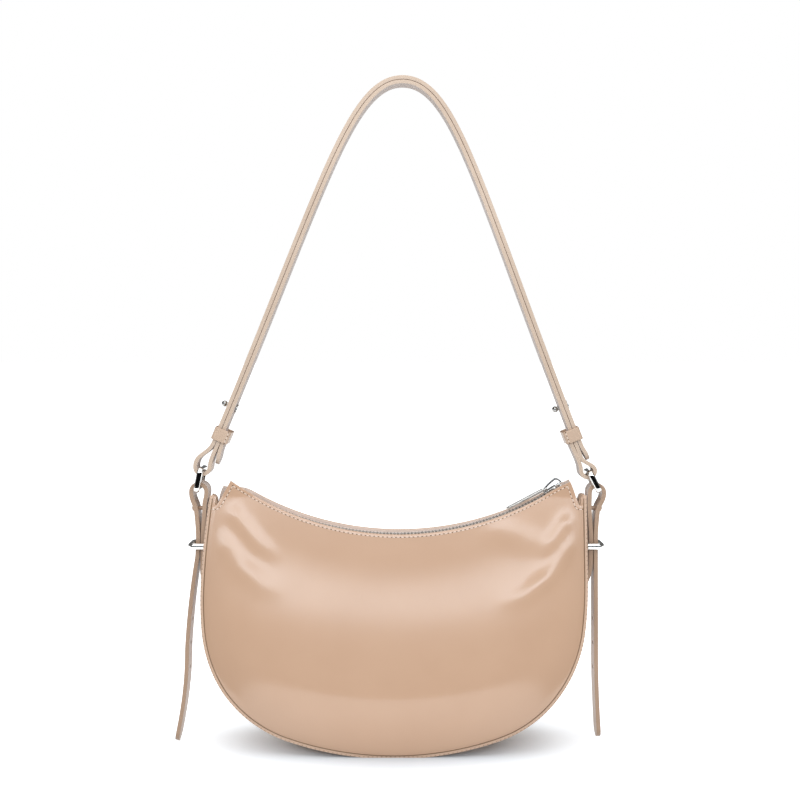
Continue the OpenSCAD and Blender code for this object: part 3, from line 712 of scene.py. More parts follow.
def gusset():
    obj = cloth_grid("gusset_skin", 180, 18, gusset_shape)
    dress(obj, GUSSET_SKIN, FLANGE_EDGE)
    sag(obj)
    thicken(obj, PANEL_T, offset=0, edge=0.35, rim_slot=1, rounds=3)
    points = get_points(obj)
    points[:, 2] = np.maximum(points[:, 2], 0)
    set_points(obj, points)
    face_out(obj)
    soften(obj, 60)
    place_piece(obj, "bag", "leather", "gusset")


# The gusset's upper end as it folds over, as (x, z) on the right
FOLD = ((139.4, 175.5), (139.2, 179), (138.8, 181.8), (137.9, 183.5), (136.6, 184.0),
        (135.2, 183.2), (134.2, 181.3), (133.9, 178.8), (134.7, 176.2), (136.2, 173.6),
        (136.6, 170.5))
FOLD_T = 1.1


def gusset_fold(side, hand):
    """The gusset's upper end, folded over inwards between the two panels."""
    path = np.array(FOLD)

    def shape(u, v):
        at = along(path, u)
        half = np.asarray(half_depth(at[:, 1])) - FLANGE_AT - PANEL_T * 0.4
        return np.stack([side * at[:, 0], (2 * v - 1) * half, at[:, 1]], 1)

    obj = sag(cloth_grid(f"gusset_fold_{hand}", 44, 8, shape))
    sheet(obj, (GUSSET_SKIN, FLANGE_EDGE), FOLD_T, edge=0.3, rim_slot=1)
    place_piece(obj, "bag", "leather")


gusset()
gusset_fold(-1, "left")
gusset_fold(1, "right")


# Lining and pocket; the base board stays the frame's own piece, dressed further down

LINING_IN = 6.95
GUSSET_LINING_IN = 6.1
POCKET_HALF = 75.0
POCKET_LOW = 50.0
POCKET_TOP = 128.0
HEM_LOW = 119.0


def lining_shape(u, v):
    rim = along(whole_outline(LINING_IN, LINING_TOP), u)[:, :2]
    top_x = (2 * u - 1) * side_half(LINING_TOP, LINING_IN)
    x = rim[:, 0] * (1 - v) + top_x * v
    z = rim[:, 1] * (1 - v) + LINING_TOP * v
    loose = 0.5 * np.sin(x / 13) * np.sin(z / 19) * smooth(outline_distance(x, z, 7) / 14)
    return np.stack([x, LINING_AT + LINING_T / 2 + np.abs(loose) - half_depth(z), z], 1)


def gusset_lining_shape(u, v):
    rim = along(whole_outline(GUSSET_LINING_IN + LINING_T / 2, LINING_TOP), u)
    half = np.asarray(half_depth(rim[:, 1])) - LINING_AT
    return np.stack([rim[:, 0], (2 * v - 1) * half, rim[:, 1]], 1)


def pocket_ply(low, layers, slack_from):
    """The pocket's sheet or its hem, from a height up, so many layers of cloth off the lining."""
    def shape(u, v):
        x, z = (2 * u - 1) * POCKET_HALF, low + (POCKET_TOP - low) * v
        slack = 0.45 * smooth((v - slack_from) / 0.5) * np.sin(np.pi * u)
        return np.stack([x, half_depth(z) - LINING_AT - layers * LINING_T - PLY_GAP - slack, z],
                        1)
    return shape


def lining_piece(name, node, across, up, shape, back=False):
    obj = cloth_grid(name, across, up, shape)
    if back:
        mirror_y(obj)
    sheet(sag(obj), (LINING,), LINING_T, edge=0.2)
    place_piece(obj, "bag", "lining", *([node] if node else []))


lining_piece("front_lining_cloth", "front_lining", 90, 30, lining_shape)
lining_piece("back_lining_cloth", "back_lining", 90, 30, lining_shape, back=True)
lining_piece("gusset_lining_cloth", "gusset_lining", 90, 6, gusset_lining_shape)
lining_piece("pocket_cloth", "inner_pocket", 40, 20, pocket_ply(POCKET_LOW, 1.5, 0.5))
lining_piece("pocket_hem", None, 40, 5, pocket_ply(HEM_LOW, 2.4, -0.5))


# Sewing: one stitch and one needle hole are modelled once and copied along each row

STITCH_PITCH = 3.2


def bare_shape(obj):
    points = get_points(obj)
    faces = [list(f.vertices) for f in obj.data.polygons]
    bpy.data.objects.remove(obj)
    return points, faces


STITCH = bare_shape(ball("stitch", (0, 0, 0.05), (1.15, 0.34, 0.30), 8, 6))
# The needle hole is a flat disc whose dark colour is painted shade standing in for the hole
NEEDLE_HOLE = bare_shape(ball("hole", (0, 0, 0.03), (0.52, 0.42, 0.12), 8, 4))


def copies(name, shape, spots):
    """One mesh of copies of a shape, each at a spot (place, along, out)."""
    points, faces = shape
    placed = []
    for place, forward, out in spots:
        forward = forward / np.linalg.norm(forward)
        side = np.cross(out, forward)
        side = side / np.linalg.norm(side)
        out = np.cross(forward, side)
        placed.append(points @ np.stack([forward, side, out]) + place)
    return copied(name, placed, faces)


def row_spots(path, outs, first, pitch):
    """Spots along a 3-D path, at every pitch from first."""
    run = np.concatenate([[0], np.cumsum(np.linalg.norm(np.diff(path, axis=0), axis=1))])
    at = np.arange(first, run[-1] + 1e-6, pitch)
    places, before, after, outward = (
        np.array([np.interp(where, run, rows[:, k]) for k in range(3)]).T
        for rows, where in ((path, at), (path, np.maximum(at - 0.8, 0)),
                            (path, np.minimum(at + 0.8, run[-1])), (outs, at)))
    return list(zip(places, after - before, outward))


def sew(name, path, outs, body="bag", pitch=STITCH_PITCH, thread=THREAD, hole=HOLE):
    threads = copies(name + "_thread", STITCH, row_spots(path, outs, pitch / 2, pitch))
    holes = copies(name + "_holes", NEEDLE_HOLE, row_spots(path, outs, 0, pitch))
    dress(threads, thread)
    dress(holes, hole)
    for obj in (threads, holes):
        soften(obj, 80)
        place_piece(obj, body, "leather")


def on_panel(plan, back):
    """A sewing row's 3-D path and outward directions on a panel's face."""
    x, z = np.asarray(plan, float).T
    step = 0.5
    path = face_at(x, z)
    dx = (face_at(x + step, z) - face_at(x - step, z))[:, 1] / (2 * step)
    dz = (half_depth(z - step) + puff(x, z - step) - half_depth(z + step)
          - puff(x, z + step)) / (2 * step)
    outs = np.stack([dx, -np.ones_like(dx), -dz], 1)
    if back:
        path, outs = path * [1, -1, 1], outs * [1, -1, 1]
    return sagged(path), outs / np.linalg.norm(outs, axis=1)[:, None]


def bezier(a, b, c, d, count=8):
    u = np.linspace(0, 1, count + 1)[:, None]
    a, b, c, d = (np.asarray(p, float) for p in (a, b, c, d))
    return (1 - u) ** 3 * a + 3 * u * (1 - u) ** 2 * b + 3 * u ** 2 * (1 - u) * c + u ** 3 * d


def joined(*parts):
    path = np.concatenate([np.atleast_2d(p) for p in parts])
    keep = np.concatenate([[True], np.linalg.norm(np.diff(path, axis=0), axis=1) > 0.05])
    return path[keep]


MOUTH_SEAM = 2.1
SIDE_SEAM = 3.2
FLANGE_SEAM = 0.85


def side_row(side):
    """Row parallel to a panel's side edge, which bends out under the notch to the flange."""
    edge = np.array([NOTCH_X - CORNER_X, NOTCH_Z - CORNER_Z])
    edge = edge / np.linalg.norm(edge)
    inward = np.array([edge[1], -edge[0]])
    top = np.array([CORNER_X, CORNER_Z]) + SIDE_SEAM * inward + 2.2 * edge
    low = np.array([NOTCH_X, NOTCH_Z]) + SIDE_SEAM * inward - 0.6 * edge
    turn = np.array([NOTCH_X + 0.6, NOTCH_Z - 3.3])
    path = joined(np.linspace(top, low, 12),
                  bezier(low, low + 1.6 * edge, turn - [1.4, 0], turn, 5),
                  np.linspace(turn, [side_half(NOTCH_Z, RIM) - 0.2, NOTCH_Z - 3.2], 4))
    return path * [side, 1]


def edge_paint_and_shade_bead(word, back):
    """A dark bead on the flange along a panel's edge, seen as a dark line along the flange: partly
    the panel's painted edge, partly painted shade in the seam beside it.
    """
    rim = whole_outline(RIM - 0.5, NOTCH_Z + 4.5)

    def shape(u, v):
        at = along(rim, u)
        z = np.maximum(at[:, 1], 0)
        a = 2 * np.pi * v
        away = 0.38 * np.cos(a)
        y = FLANGE_AT - 0.2 - half_depth(z) + 0.35 * np.sin(a)
        return np.stack([at[:, 0] + at[:, 2] * away, y,
                         np.maximum(at[:, 1] + at[:, 3] * away, 0)], 1)

    obj = cloth_grid(f"{word}_edge_paint_and_shade_bead", 200, 6, shape)
    dress(obj, PANEL_EDGE_AND_SHADE)
    if back:
        mirror_y(obj)
    sag(obj)
    face_out(obj, merge=0.00002)
    soften(obj, 60)
    place_piece(obj, "bag", "leather")


def flange_row():
    rim = whole_outline(FLANGE_SEAM, NOTCH_Z + 4)
    x, z = rim[:, 0], np.maximum(rim[:, 1], 0.6)
    path = np.stack([x, FLANGE_AT - half_depth(z) - 0.02, z], 1)
    return path, np.tile([0.0, -1.0, 0.0], (len(path), 1))


def sew_body():
    turns = np.linspace(-1, 1, 160) * (CORNER_TURN - math.degrees(3.4 / MOUTH_R))
    mouth_row = np.stack(mouth_point(turns, MOUTH_SEAM), 1)
    flange, flange_outs = flange_row()
    for word, back in (("front", False), ("back", True)):
        edge_paint_and_shade_bead(word, back)
        sew(f"{word}_mouth_seam", *on_panel(mouth_row, back))
        for side, hand in ((-1, "left"), (1, "right")):
            sew(f"{word}_side_seam_{hand}", *on_panel(side_row(side), back))
        flip = [1, -1, 1] if back else [1, 1, 1]
        sew(f"{word}_flange_seam", sagged(flange * flip), flange_outs * flip,
            thread=FLANGE_THREAD, hole=FLANGE_HOLE)


sew_body()


# Zip: local X runs along the chain to the right, Y to the back, Z out of the bag

ZIP_SINK = 1.8
TAPE_T = 0.8
ZIP_R = MOUTH_R + ZIP_SINK + TAPE_T / 2
TOOTH_PITCH = 2.6
TOOTH_H = 2.4
CHAIN_W = 5.6
TOOTH_LAP = 0.7
SLIDER_LEN = 10.0
# Distances from the mouth's corner to the ends of tape and chain and to the slider's middle
TAPE_END = 6.2
CHAIN_END = 7.8
SLIDER_END = 13.25


def zip_turn(length):
    return math.degrees(length / ZIP_R)


TAPE_TURN = CORNER_TURN - zip_turn(TAPE_END)
CHAIN_TURN = CORNER_TURN - zip_turn(CHAIN_END)
SLIDER_TURN = CORNER_TURN - zip_turn(SLIDER_END)
TOOTH_TURN = zip_turn(TOOTH_PITCH)
# The chain and its tapes have crept round their arch, as the mouth has. Slider and puller keep the
# frame's place, so that they turn about their own joints
ZIP_LEAN = zip_turn(2.0)
FIRST_TOOTH = -math.floor(CHAIN_TURN / TOOTH_TURN)
LAST_TOOTH = math.floor((SLIDER_TURN + zip_turn(2.5 - TOOTH_PITCH / 2)) / TOOTH_TURN)


def at_zip(points, turn):
    a = math.radians(turn)
    x, y, z = np.asarray(points, float).T
    up = ZIP_R - z
    return np.stack([x * math.cos(a) + up * math.sin(a), y,
                     MOUTH_CZ + x * math.sin(a) - up * math.cos(a)], 1)


def tape_shape(u, v):
    """Front tape: from its skirt inside the panel, over the fold, to the edge under the teeth."""
    turn = (2 * u - 1) * TAPE_TURN + ZIP_LEAN
    centre_z = mouth_point(turn, ZIP_SINK)[1]
    wall = -(np.asarray(half_depth(centre_z)) - FLANGE_AT - TAPE_T / 2)
    edge = -(CHAIN_W / 2 - TOOTH_LAP)
    sinks = np.interp(v, [0, 0.4, 0.5, 0.58, 1], [11, 3.0, 1.1, 0.4, 0.4])
    fold = np.interp(v, [0, 0.4, 0.5, 0.58, 1], [0, 0, 0.35, 1.4, 1.4])
    reach = np.clip((v - 0.58) / 0.42, 0, 1)
    x, z = mouth_point(turn, ZIP_SINK + sinks)
    y = wall + fold + (edge - wall - 1.4) * reach
    return np.stack([x, y, z], 1)


def tooth_shape():
    """One tooth: a block clasped on the tape, a neck and a round head past the middle."""
    long = TOOTH_PITCH / 2 - 0.12
    outline = [(-long / 2, -CHAIN_W / 2), (long / 2, -CHAIN_W / 2), (long / 2, -0.75),
               (long * 0.36, -0.35), (long * 0.5, 0.25), (long * 0.3, TOOTH_LAP),
               (-long * 0.3, TOOTH_LAP), (-long * 0.5, 0.25), (-long * 0.36, -0.35),
               (-long / 2, -0.75)]
    return bare_shape(prism("tooth", outline, -TOOTH_H / 2, TOOTH_H / 2, edge=0.22, rounds=1))


def along_chain(name, shape, turns, back):
    points, faces = shape
    flip = np.array([-1, -1, 1]) if back else np.array([1, 1, 1])
    placed = [at_zip(points * flip, turn + ZIP_LEAN) for turn in turns]
    return soften(dress(copied(name, placed, faces), TOOTH_METAL), 30)


def zip_chain():
    for back, node in ((False, "front_zip_tape"), (True, "back_zip_tape")):
        tape = cloth_grid(node + "_cloth", 150, 24, tape_shape)
        if back:
            mirror_y(tape)
        sheet(tape, (TAPE,), TAPE_T, edge=0.2)
        place_piece(tape, "bag", "leather", node)
    tooth = tooth_shape()
    turns = np.arange(FIRST_TOOTH, LAST_TOOTH + 1) * TOOTH_TURN
    front = along_chain("front_teeth", tooth, turns, False)
    back_row = along_chain("back_teeth", tooth, (turns + TOOTH_TURN / 2)[:-1], True)
    place_piece(front, "bag", "zip_metal", "front_zip_teeth")
    place_piece(back_row, "bag", "zip_metal", "back_zip_teeth")
    block = [(-0.65, -2.8), (0.65, -2.8), (0.65, -0.9), (-0.65, -0.9)]
    wide = [(-0.65, -2.8), (0.65, -2.8), (0.65, 2.8), (-0.65, 2.8)]
    half_h = TOOTH_H / 2
    closed = bare_shape(prism("stop", wide, -half_h, half_h, edge=0.3))
    single = bare_shape(prism("stop", block, -half_h, half_h, edge=0.3))
    end = SLIDER_TURN + zip_turn(SLIDER_LEN / 2 + TOOTH_PITCH / 2)
    stops = [along_chain("stop_left", closed, [(FIRST_TOOTH - 1) * TOOTH_TURN], False),
             along_chain("stop_front", single, [end], False),
             along_chain("stop_back", single, [end], True)]
    place_piece(one_piece("chain_stops", stops), "bag", "zip_metal", "zip_stops")


zip_chain()

PLATE_Z = 1.45
PLATE_T = 1.1
BRIDGE_H = 4.7
BRIDGE_T = 1.2
HINGE_Z = 4.0
EYE_X = 2.0
PULLER_LEN = 30.0
PULLER_TILT = 3.5


def band(name, path, width, thickness, edge):
    """A metal band along a path in X and Z, of a width in Y."""
    path = np.asarray(path, float)

    def shape(u, v):
        at = along(path, u)
        return np.stack([at[:, 0], (v - 0.5) * width, at[:, 1]], 1)

    obj = cloth_grid(name, 40, 4, shape)
    thicken(obj, thickness, edge=edge)
    face_out(obj)
    return obj


def zip_slider():
    half = [(-5, 2.6), (-4.4, 3.4), (-2, 3.9), (1.5, 4.35), (3.6, 4.4), (4.7, 3.9), (5, 3.0)]
    plan = half + [(x, -y) for x, y in reversed(half)]
    wall = [(-4.3, 3.15), (4.2, 3.3), (4.2, 4.4), (1.5, 4.35), (-2, 3.9), (-4.3, 3.5)]
    parts = []
    for low, high in ((PLATE_Z, PLATE_Z + PLATE_T), (-PLATE_Z - PLATE_T, -PLATE_Z)):
        parts.append(prism("plate", plan, low, high, edge=0.35, rounds=3))
    for mirror in (1, -1):
        sides = [(x, y * mirror) for x, y in wall]
        parts.append(prism("wall", sides, 0.65, PLATE_Z + 0.4, edge=0.15))
        parts.append(prism("wall", sides, -PLATE_Z - 0.4, -0.65, edge=0.15))
    parts.append(prism("post", [(2.5, -1.3), (4.5, -0.8), (4.5, 0.8), (2.5, 1.3)],
                       -PLATE_Z, PLATE_Z, edge=0.2))
    foot = PLATE_Z + PLATE_T - 0.2
    top = PLATE_Z + PLATE_T + BRIDGE_H - BRIDGE_T / 2
    arch = joined(bezier((9.9, foot), (10.1, foot + 1.6), (8.9, top - 0.5), (7.3, top), 12),
                  bezier((7.3, top), (4.2, top - 0.3), (-3.9, foot + 3.0), (-4.4, foot), 12))
    ledge = prism("ledge", [(3.4, -1.6), (10.2, -1.4), (10.6, 0), (10.2, 1.4), (3.4, 1.6)],
                  PLATE_Z + 0.3, PLATE_Z + PLATE_T, edge=0.3)
    for obj, name, material, node in (
            (one_piece("slider_body", parts + [ledge]), "slider_body", NICKEL, ("zip_slider",)),
            (band("bridge", arch, 2.4, BRIDGE_T, 0.3), "slider_bridge", NICKEL_PAINTED_DARK, ())):
        set_points(named(obj, name), at_zip(get_points(obj), SLIDER_TURN))
        dress(obj, material)
        soften(obj, 40)
        place_piece(obj, "slider", "metal", *node)


def zip_puller():
    """Flat puller with a round end, and an eye whose pin hangs under the slider's bridge."""
    turns = np.radians(np.linspace(-90, 90, 15))
    tip = [(-PULLER_LEN - EYE_X - 1 + 2.5 - 2.5 * math.cos(a), -2.5 * math.sin(a)) for a in turns]
    upper = [(-8.5, 2.35), (-5.5, 2.2), (-3.4, 2.42), (-2.6, 2.42)]
    plan = [(x, y) for x, y in tip] + [(x, -y) for x, y in upper] + upper[::-1]
    parts = [prism("tab", plan, -1.0, 1.0, edge=0.4, rounds=3)]
    for s in (-1, 1):
        arm = [(-3.2, s * 1.45), (0.5, s * 1.45), (0.85, s * 1.8), (0.5, s * 2.42),
               (-3.2, s * 2.42)]
        parts.append(prism("arm", arm, -0.7, 0.7, edge=0.3))
    pin = cylinder(0.7, 4.2, 24, (90, 0, 0))
    round_edges(pin, 0.2)
    apply_all(pin)
    puller = one_piece("puller_tab", parts + [pin])
    a = math.radians(PULLER_TILT)
    x, y, z = get_points(puller).T
    turned = np.stack([x * math.cos(a) + z * math.sin(a) - EYE_X, y,
                       z * math.cos(a) - x * math.sin(a) + HINGE_Z], 1)
    set_points(puller, at_zip(turned, SLIDER_TURN))
    dress(puller, PULLER_STEEL)
    soften(puller, 40)
    place_piece(puller, "puller", "metal", "zip_puller")


zip_slider()
zip_puller()


# Straps, seen edge on: each is a path of (x, z) points in the middle of its thickness

def vec(x, z):
    return np.array([x, z], float)


def heading(path):
    d = np.gradient(path, axis=0)
    return d / np.linalg.norm(d, axis=1)[:, None]


def shifted(path, distance):
    d = heading(path)
    return path + distance * np.stack([-d[:, 1], d[:, 0]], 1)


def even(path, step):
    """The same path with points at an even step."""
    length = np.linalg.norm(np.diff(path, axis=0), axis=1).sum()
    return along(path, np.linspace(0, 1, max(int(length / step), 8)))


def strip(name, path, width=STRAP_W, thickness=STRAP_T, step=1.2, edge=0.55, materials=(),
          round_start=False, round_end=False, holes=()):
    """A leather strip along a path, standing edge on to the front. Ends may be rounded, and
    holes are cut square through it at points of the path."""
    points = even(path, step)
    length = np.linalg.norm(np.diff(points, axis=0), axis=1).sum()
    reach = width / 2

    def place(u, v):
        at = along(points, u)
        share = np.ones_like(u)
        for wanted, gap in ((round_start, u * length), (round_end, (1 - u) * length)):
            if wanted:
                near = np.clip(gap / reach, 0.0, 1)
                share = np.minimum(share, np.sqrt(np.maximum(1 - (1 - near) ** 2, 0.02)))
        return np.stack([at[:, 0], (v - 0.5) * width * share, at[:, 1]], 1)

    obj = cloth_grid(name, len(points), 6, place)
    dress(obj, *materials)
    thicken(obj, thickness, offset=0, edge=0, rim_slot=1, back_slot=2)
    face_out(obj)
    if not holes:
        round_edges(obj, edge, 3)
        apply_all(obj)
    for x, z in holes:
        cutter = dress(cylinder(HOLE_R, 8, 20, (0, 90, 0), (x, 0, z)), STRAP_EDGE_SHADED)
        cut = obj.modifiers.new("hole", "BOOLEAN")
        cut.operation = "DIFFERENCE"
        cut.solver = "EXACT"
        cut.object = cutter
        apply_all(obj)
        bpy.data.objects.remove(cutter)
    return soften(obj, 40)


SIDE_X = side_half(174.0, 0)
LINK_X = SIDE_X + 8.65
LINK_Z = 187.9
LINK_ROD = 3.4
LINK_LEN = 14.6
LINK_LEAN = {-1: 11.0, 1: 27.0}
SEAT_GAP = 0.3
PIVOT_IN = SIDE_X + 2.15
PIVOT_OUT = SIDE_X + 7.85
RIVET_Z = 174.0
SWELL_Z = RIVET_Z + 2.9
RING_Z = 146.0
RING_LANE_IN = side_half(RING_Z, 0) + 2.25
RING_LANE_OUT = RING_LANE_IN + STRAP_T + PLY_GAP + SEAT_GAP
LINK_AT = {-1: LINK_X - 1.1, 1: LINK_X}
LINK_REACH = {-1: LINK_LEN + 1.2, 1: LINK_LEN}
# Eye of each side belt, as its inner and outer reach from the link and its middle's height
EYE = {-1: (8.0, 3.3, 186.9), 1: (6.3, 4.3, 186.2)}
HAND = {-1: "left", 1: "right"}
# Where each free tail hangs, as (x, z) down from the keeper ring
TAIL_MID = {-1: (155.0, 70), 1: (147.0, 70)}
TAIL_TIP = {-1: (163.0, 1.6), 1: (149.2, 4.5)}
TAIL_SWING = {-1: 4.2, 1: 0.0}
TAIL_HOLES = (92, 74, 56)
HOLE_R = 1.5
SEWN_LOW = 78
SEWN_TOP = 112


def side_belt_path(side):
    """A side strap from its sewn end up round the link and down to the free tail's tip, drawn
    on the right and turned over for the left."""
    lie = STRAP_T / 2 - FLANGE_H + PLY_GAP
    seat = vec(side_half(SEWN_TOP, -lie), SEWN_TOP)
    up = seat - vec(SIDE_CX, SIDE_CZ)
    up = up / np.linalg.norm(up)
    sewn = np.array([(side_half(z, -lie), z) for z in np.linspace(SEWN_LOW, SEWN_TOP, 12)])
    rise = bezier(vec(RING_LANE_IN, RING_Z - 12), vec(RING_LANE_IN, RING_Z - 24),
                  seat + 12 * vec(-up[1], up[0]), seat)[::-1]
    leaned = np.concatenate([sewn, rise])
    lean = np.interp(leaned[:, 1], LEAN_Z, LEAN_X) * side
    leaned[:, 0] += lean * (1 - smooth((leaned[:, 1] - 108) / 34))
    to_rivet = bezier(vec(RING_LANE_IN, RING_Z + 4), vec(RING_LANE_IN, RING_Z + 15.5),
                      vec(PIVOT_IN, RIVET_Z - 7.5), vec(PIVOT_IN, SWELL_Z))
    reach_in, reach_out, eye_z = EYE[side]
    inner = vec(LINK_X - reach_in, eye_z)
    outer = vec(LINK_X + reach_out, eye_z)
    c = (inner + outer) / 2
    r = (reach_in + reach_out) / 2
    swell_in = bezier(vec(PIVOT_IN, SWELL_Z), vec(PIVOT_IN, SWELL_Z + 3.5), inner - vec(0, 4.5),
                      inner)
    turns = np.radians(np.linspace(180, 0, 19))
    over = c + r * np.stack([np.cos(turns), np.sin(turns)], 1)
    neck = vec(PIVOT_OUT + 0.3, SWELL_Z - 5)
    swell_out = bezier(outer, outer - vec(0, 7), neck + vec(0.6, 6), neck, 12)
    down = bezier(neck, neck - vec(0.6, 6), vec(RING_LANE_OUT, RING_Z + 14),
                  vec(RING_LANE_OUT, RING_Z + 4))
    mid_x, mid_z = TAIL_MID[side]
    tip_x, tip_z = TAIL_TIP[side]
    swing = TAIL_SWING[side]
    hang = bezier(vec(RING_LANE_OUT + swing / 8, RING_Z - 7), vec(RING_LANE_OUT + swing, 118),
                  vec(mid_x - swing / 4, mid_z + 22), vec(mid_x, mid_z), 14)
    tail = bezier(vec(mid_x, mid_z), vec(mid_x, mid_z - 24),
                  vec((2 * mid_x + tip_x) / 3, tip_z + 26), vec(tip_x, tip_z), 14)
    return joined(leaned, to_rivet, swell_in, over, swell_out, down, hang, tail)


def side_belt(side):
    path = side_belt_path(side)
    count = len(path) // 2
    holes = [(side * np.interp(-z, -path[count:, 1], path[count:, 0]), z) for z in TAIL_HOLES]
    path[:, 0] *= side
    if side < 0:
        path = path[::-1]
    hand = HAND[side]
    obj = strip(f"side_belt_{hand}", path, materials=(SUEDE, STRAP_EDGE_SHADED, STRAP_SKIN),
                round_start=side < 0, round_end=side > 0, holes=holes)
    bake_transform(obj)
    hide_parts(f"side_strap_{hand}", f"side_tail_{hand}", f"side_loop_{hand}")
    low = side * (PIVOT_IN - STRAP_T / 2 - PLY_GAP)
    high = side * (PIVOT_OUT + STRAP_T / 2 + 0.9)
    heads = [ball("head", (high, 0, RIVET_Z), (2.3, 2.8, 2.7)),
             ball("head", (low + side * 0.1, 0, RIVET_Z), (1.0, 2.6, 2.6))]
    shaft = ball("shaft", ((low + high) / 2, 0, RIVET_Z), (abs(high - low) / 2 + 0.4, 1.5, 1.5))
    rivet = one_piece(f"rivet_{hand}", heads + [shaft])
    dress(rivet, RIVET_SKIN)
    soften(rivet, 60)
    place_piece(rivet, "bag", "metal", f"side_rivet_{hand}")


for hand_side in HAND:
    side_belt(hand_side)


# Metal rings and links

def rounded_rectangle(long, wide, bend, steps):
    """A closed line round a rectangle with rounded corners, as (x, y, nx, ny)."""
    line = [(cx * (long / 2 - bend) + bend * math.cos(a), cy * (wide / 2 - bend)
             + bend * math.sin(a), math.cos(a), math.sin(a))
            for k, (cx, cy) in enumerate(((1, 1), (-1, 1), (-1, -1), (1, -1)))
            for a in np.radians(np.linspace(90 * k, 90 * k + 90, steps))]
    return np.array(line + line[:1])


def rod_ring(name, long, wide, bend, tall, deep, place, square=1.0, swell=0.0):
    """A closed metal ring swept along a rounded rectangle. Its section is oval, or squarer where
    square is below one, and taller by swell on its two long bars. Place turns its points
    (along, y, across) into the frame."""
    line = rounded_rectangle(long, wide, bend, 9)

    def shape(u, v):
        at = along(line, u)
        a = 2 * np.pi * v
        on_bar = smooth((abs(at[:, 1]) / (wide / 2) - 0.6) / 0.35)
        power = 1 + (square - 1) * on_bar
        out, rise = (np.sign(k) * np.abs(k) ** power for k in (np.cos(a), np.sin(a)))
        away = deep / 2 * out
        high = tall + swell * on_bar
        return place(np.stack([at[:, 0] + at[:, 2] * away, at[:, 1] + at[:, 3] * away,
                               high / 2 * rise], 1))

    obj = cloth_grid(name, 120, 20, shape)
    face_out(obj, merge=0.00003)
    dress(obj, NICKEL)
    return soften(obj, 80)


RING_LOW = side_half(RING_Z, 0) - 2.7
RING_HIGH = {-1: RING_LANE_OUT + 5.9, 1: RING_LANE_OUT + 4.6}
RING_LIFT = 0.8


def keeper_ring(side):
    high = RING_HIGH[side]

    def place(p):
        return np.stack([side * ((RING_LOW + high) / 2 + p[:, 0]), p[:, 1],
                         RING_Z + RING_LIFT + p[:, 2]], 1)

    obj = rod_ring(f"ring_{HAND[side]}", high - RING_LOW, 19.6, 3.2, 4.8, 3.3, place)
    place_piece(obj, f"ring_{HAND[side]}", "metal", f"keeper_ring_{HAND[side]}")


def strap_link(side):
    lean = math.radians(LINK_LEAN[side])
    length = LINK_REACH[side]

    def place(p):
        up, out = p[:, 0] + length / 2, p[:, 2]
        x = LINK_AT[side] - up * math.sin(lean) + out * math.cos(lean)
        return np.stack([side * x, p[:, 1], LINK_Z + up * math.cos(lean)
                         + out * math.sin(lean)], 1)

    obj = rod_ring(f"rod_{HAND[side]}", length, 20.6, 2.6, 3.4, LINK_ROD, place, 0.55, 0.9)
    place_piece(obj, f"{HAND[side]}_link", "metal", f"link_{HAND[side]}")


for hand_side in HAND:
    keeper_ring(hand_side)
for hand_side in HAND:
    strap_link(hand_side)

# Shoulder strap
KEEPER_X = LINK_X - 19.0
KEEPER_Z = 228.4
KEEPER_H = 9.6
KEEPER_FOOT = KEEPER_H / 2 + 2
KEEPER_WALL = 1.4
KEEPER_ROOM = 0.6
STRAP_TOP = 494.5
APEX_X = 4.0
ARCH_RISE = 200.0
ARCH_SPREAD = 40.0
STRAP_LANE = STRAP_T + 0.2
STRAP_LEAN = {-1: 22.7, 1: 21.2}
LOOP_IN = 0.9
UPPER_LOOP_R = {-1: 5.4, 1: 5.2}
# How far the right loop's ply runs straight below the keeper, and how long each free end hangs
LOOP_HOLD = 11.0
FREE_END = {-1: 15.4, 1: 14.0}


def run_dir(side):
    a = math.radians(STRAP_LEAN[side])
    return vec(-side * math.sin(a), math.cos(a))


def run_out(side):
    a = math.radians(STRAP_LEAN[side])
    return vec(side * math.cos(a), math.sin(a))


def lane_point(side, lane, up):
    return (vec(side * KEEPER_X, KEEPER_Z) + (2 - lane) * STRAP_LANE * run_out(side)
            + up * run_dir(side))


def half_arch(side):
    foot = lane_point(side, 1, 0)
    apex = vec(APEX_X, STRAP_TOP - STRAP_T / 2)
    return bezier(foot, foot + ARCH_RISE * run_dir(side), apex + vec(side * ARCH_SPREAD, 0), apex,
                  48)


ARCH = joined(half_arch(-1), half_arch(1)[::-1])


def upper_loop(side, lane, hold):
    lean = math.radians(LINK_LEAN[side])
    length = LINK_REACH[side]
    bar = vec(side * (LINK_AT[side] - length * math.sin(lean)), LINK_Z + length * math.cos(lean))
    r = UPPER_LOOP_R[side]
    room = r - STRAP_T / 2 - LINK_ROD / 2 - 0.25
    c = bar + vec(-side * LOOP_IN, math.sqrt(room ** 2 - LOOP_IN ** 2))
    a = lane_point(side, lane, -KEEPER_FOOT - hold)
    b = lane_point(side, lane + 1, -KEEPER_FOOT)
    u = run_dir(side)
    swell = 10 - hold / 2
    turns = np.radians(np.linspace(0, 180, 17))
    under = c + r * np.stack([side * np.cos(turns), -np.sin(turns)], 1)
    return joined(bezier(a, a - swell * u, c + vec(side * r, swell), c + vec(side * r, 0), 12),
                  under,
                  bezier(c - vec(side * r, 0), c + vec(-side * r, 5), b - 5 * u, b))


def free_tail(side, lane):
    foot = lane_point(side, lane, -KEEPER_FOOT)
    tip = lane_point(side, lane, -KEEPER_FOOT - FREE_END[side]) + vec(1.6, 0)
    half = FREE_END[side] / 2 * run_dir(side)
    return bezier(foot, foot - half, tip + half, tip)


def lane_jog(side):
    low = lane_point(side, 3, -KEEPER_FOOT + 3)
    high = lane_point(side, 2, KEEPER_FOOT - 1)
    rise = np.linalg.norm(high - low) / 2 * run_dir(side)
    return bezier(low, low + rise, high - rise, high)


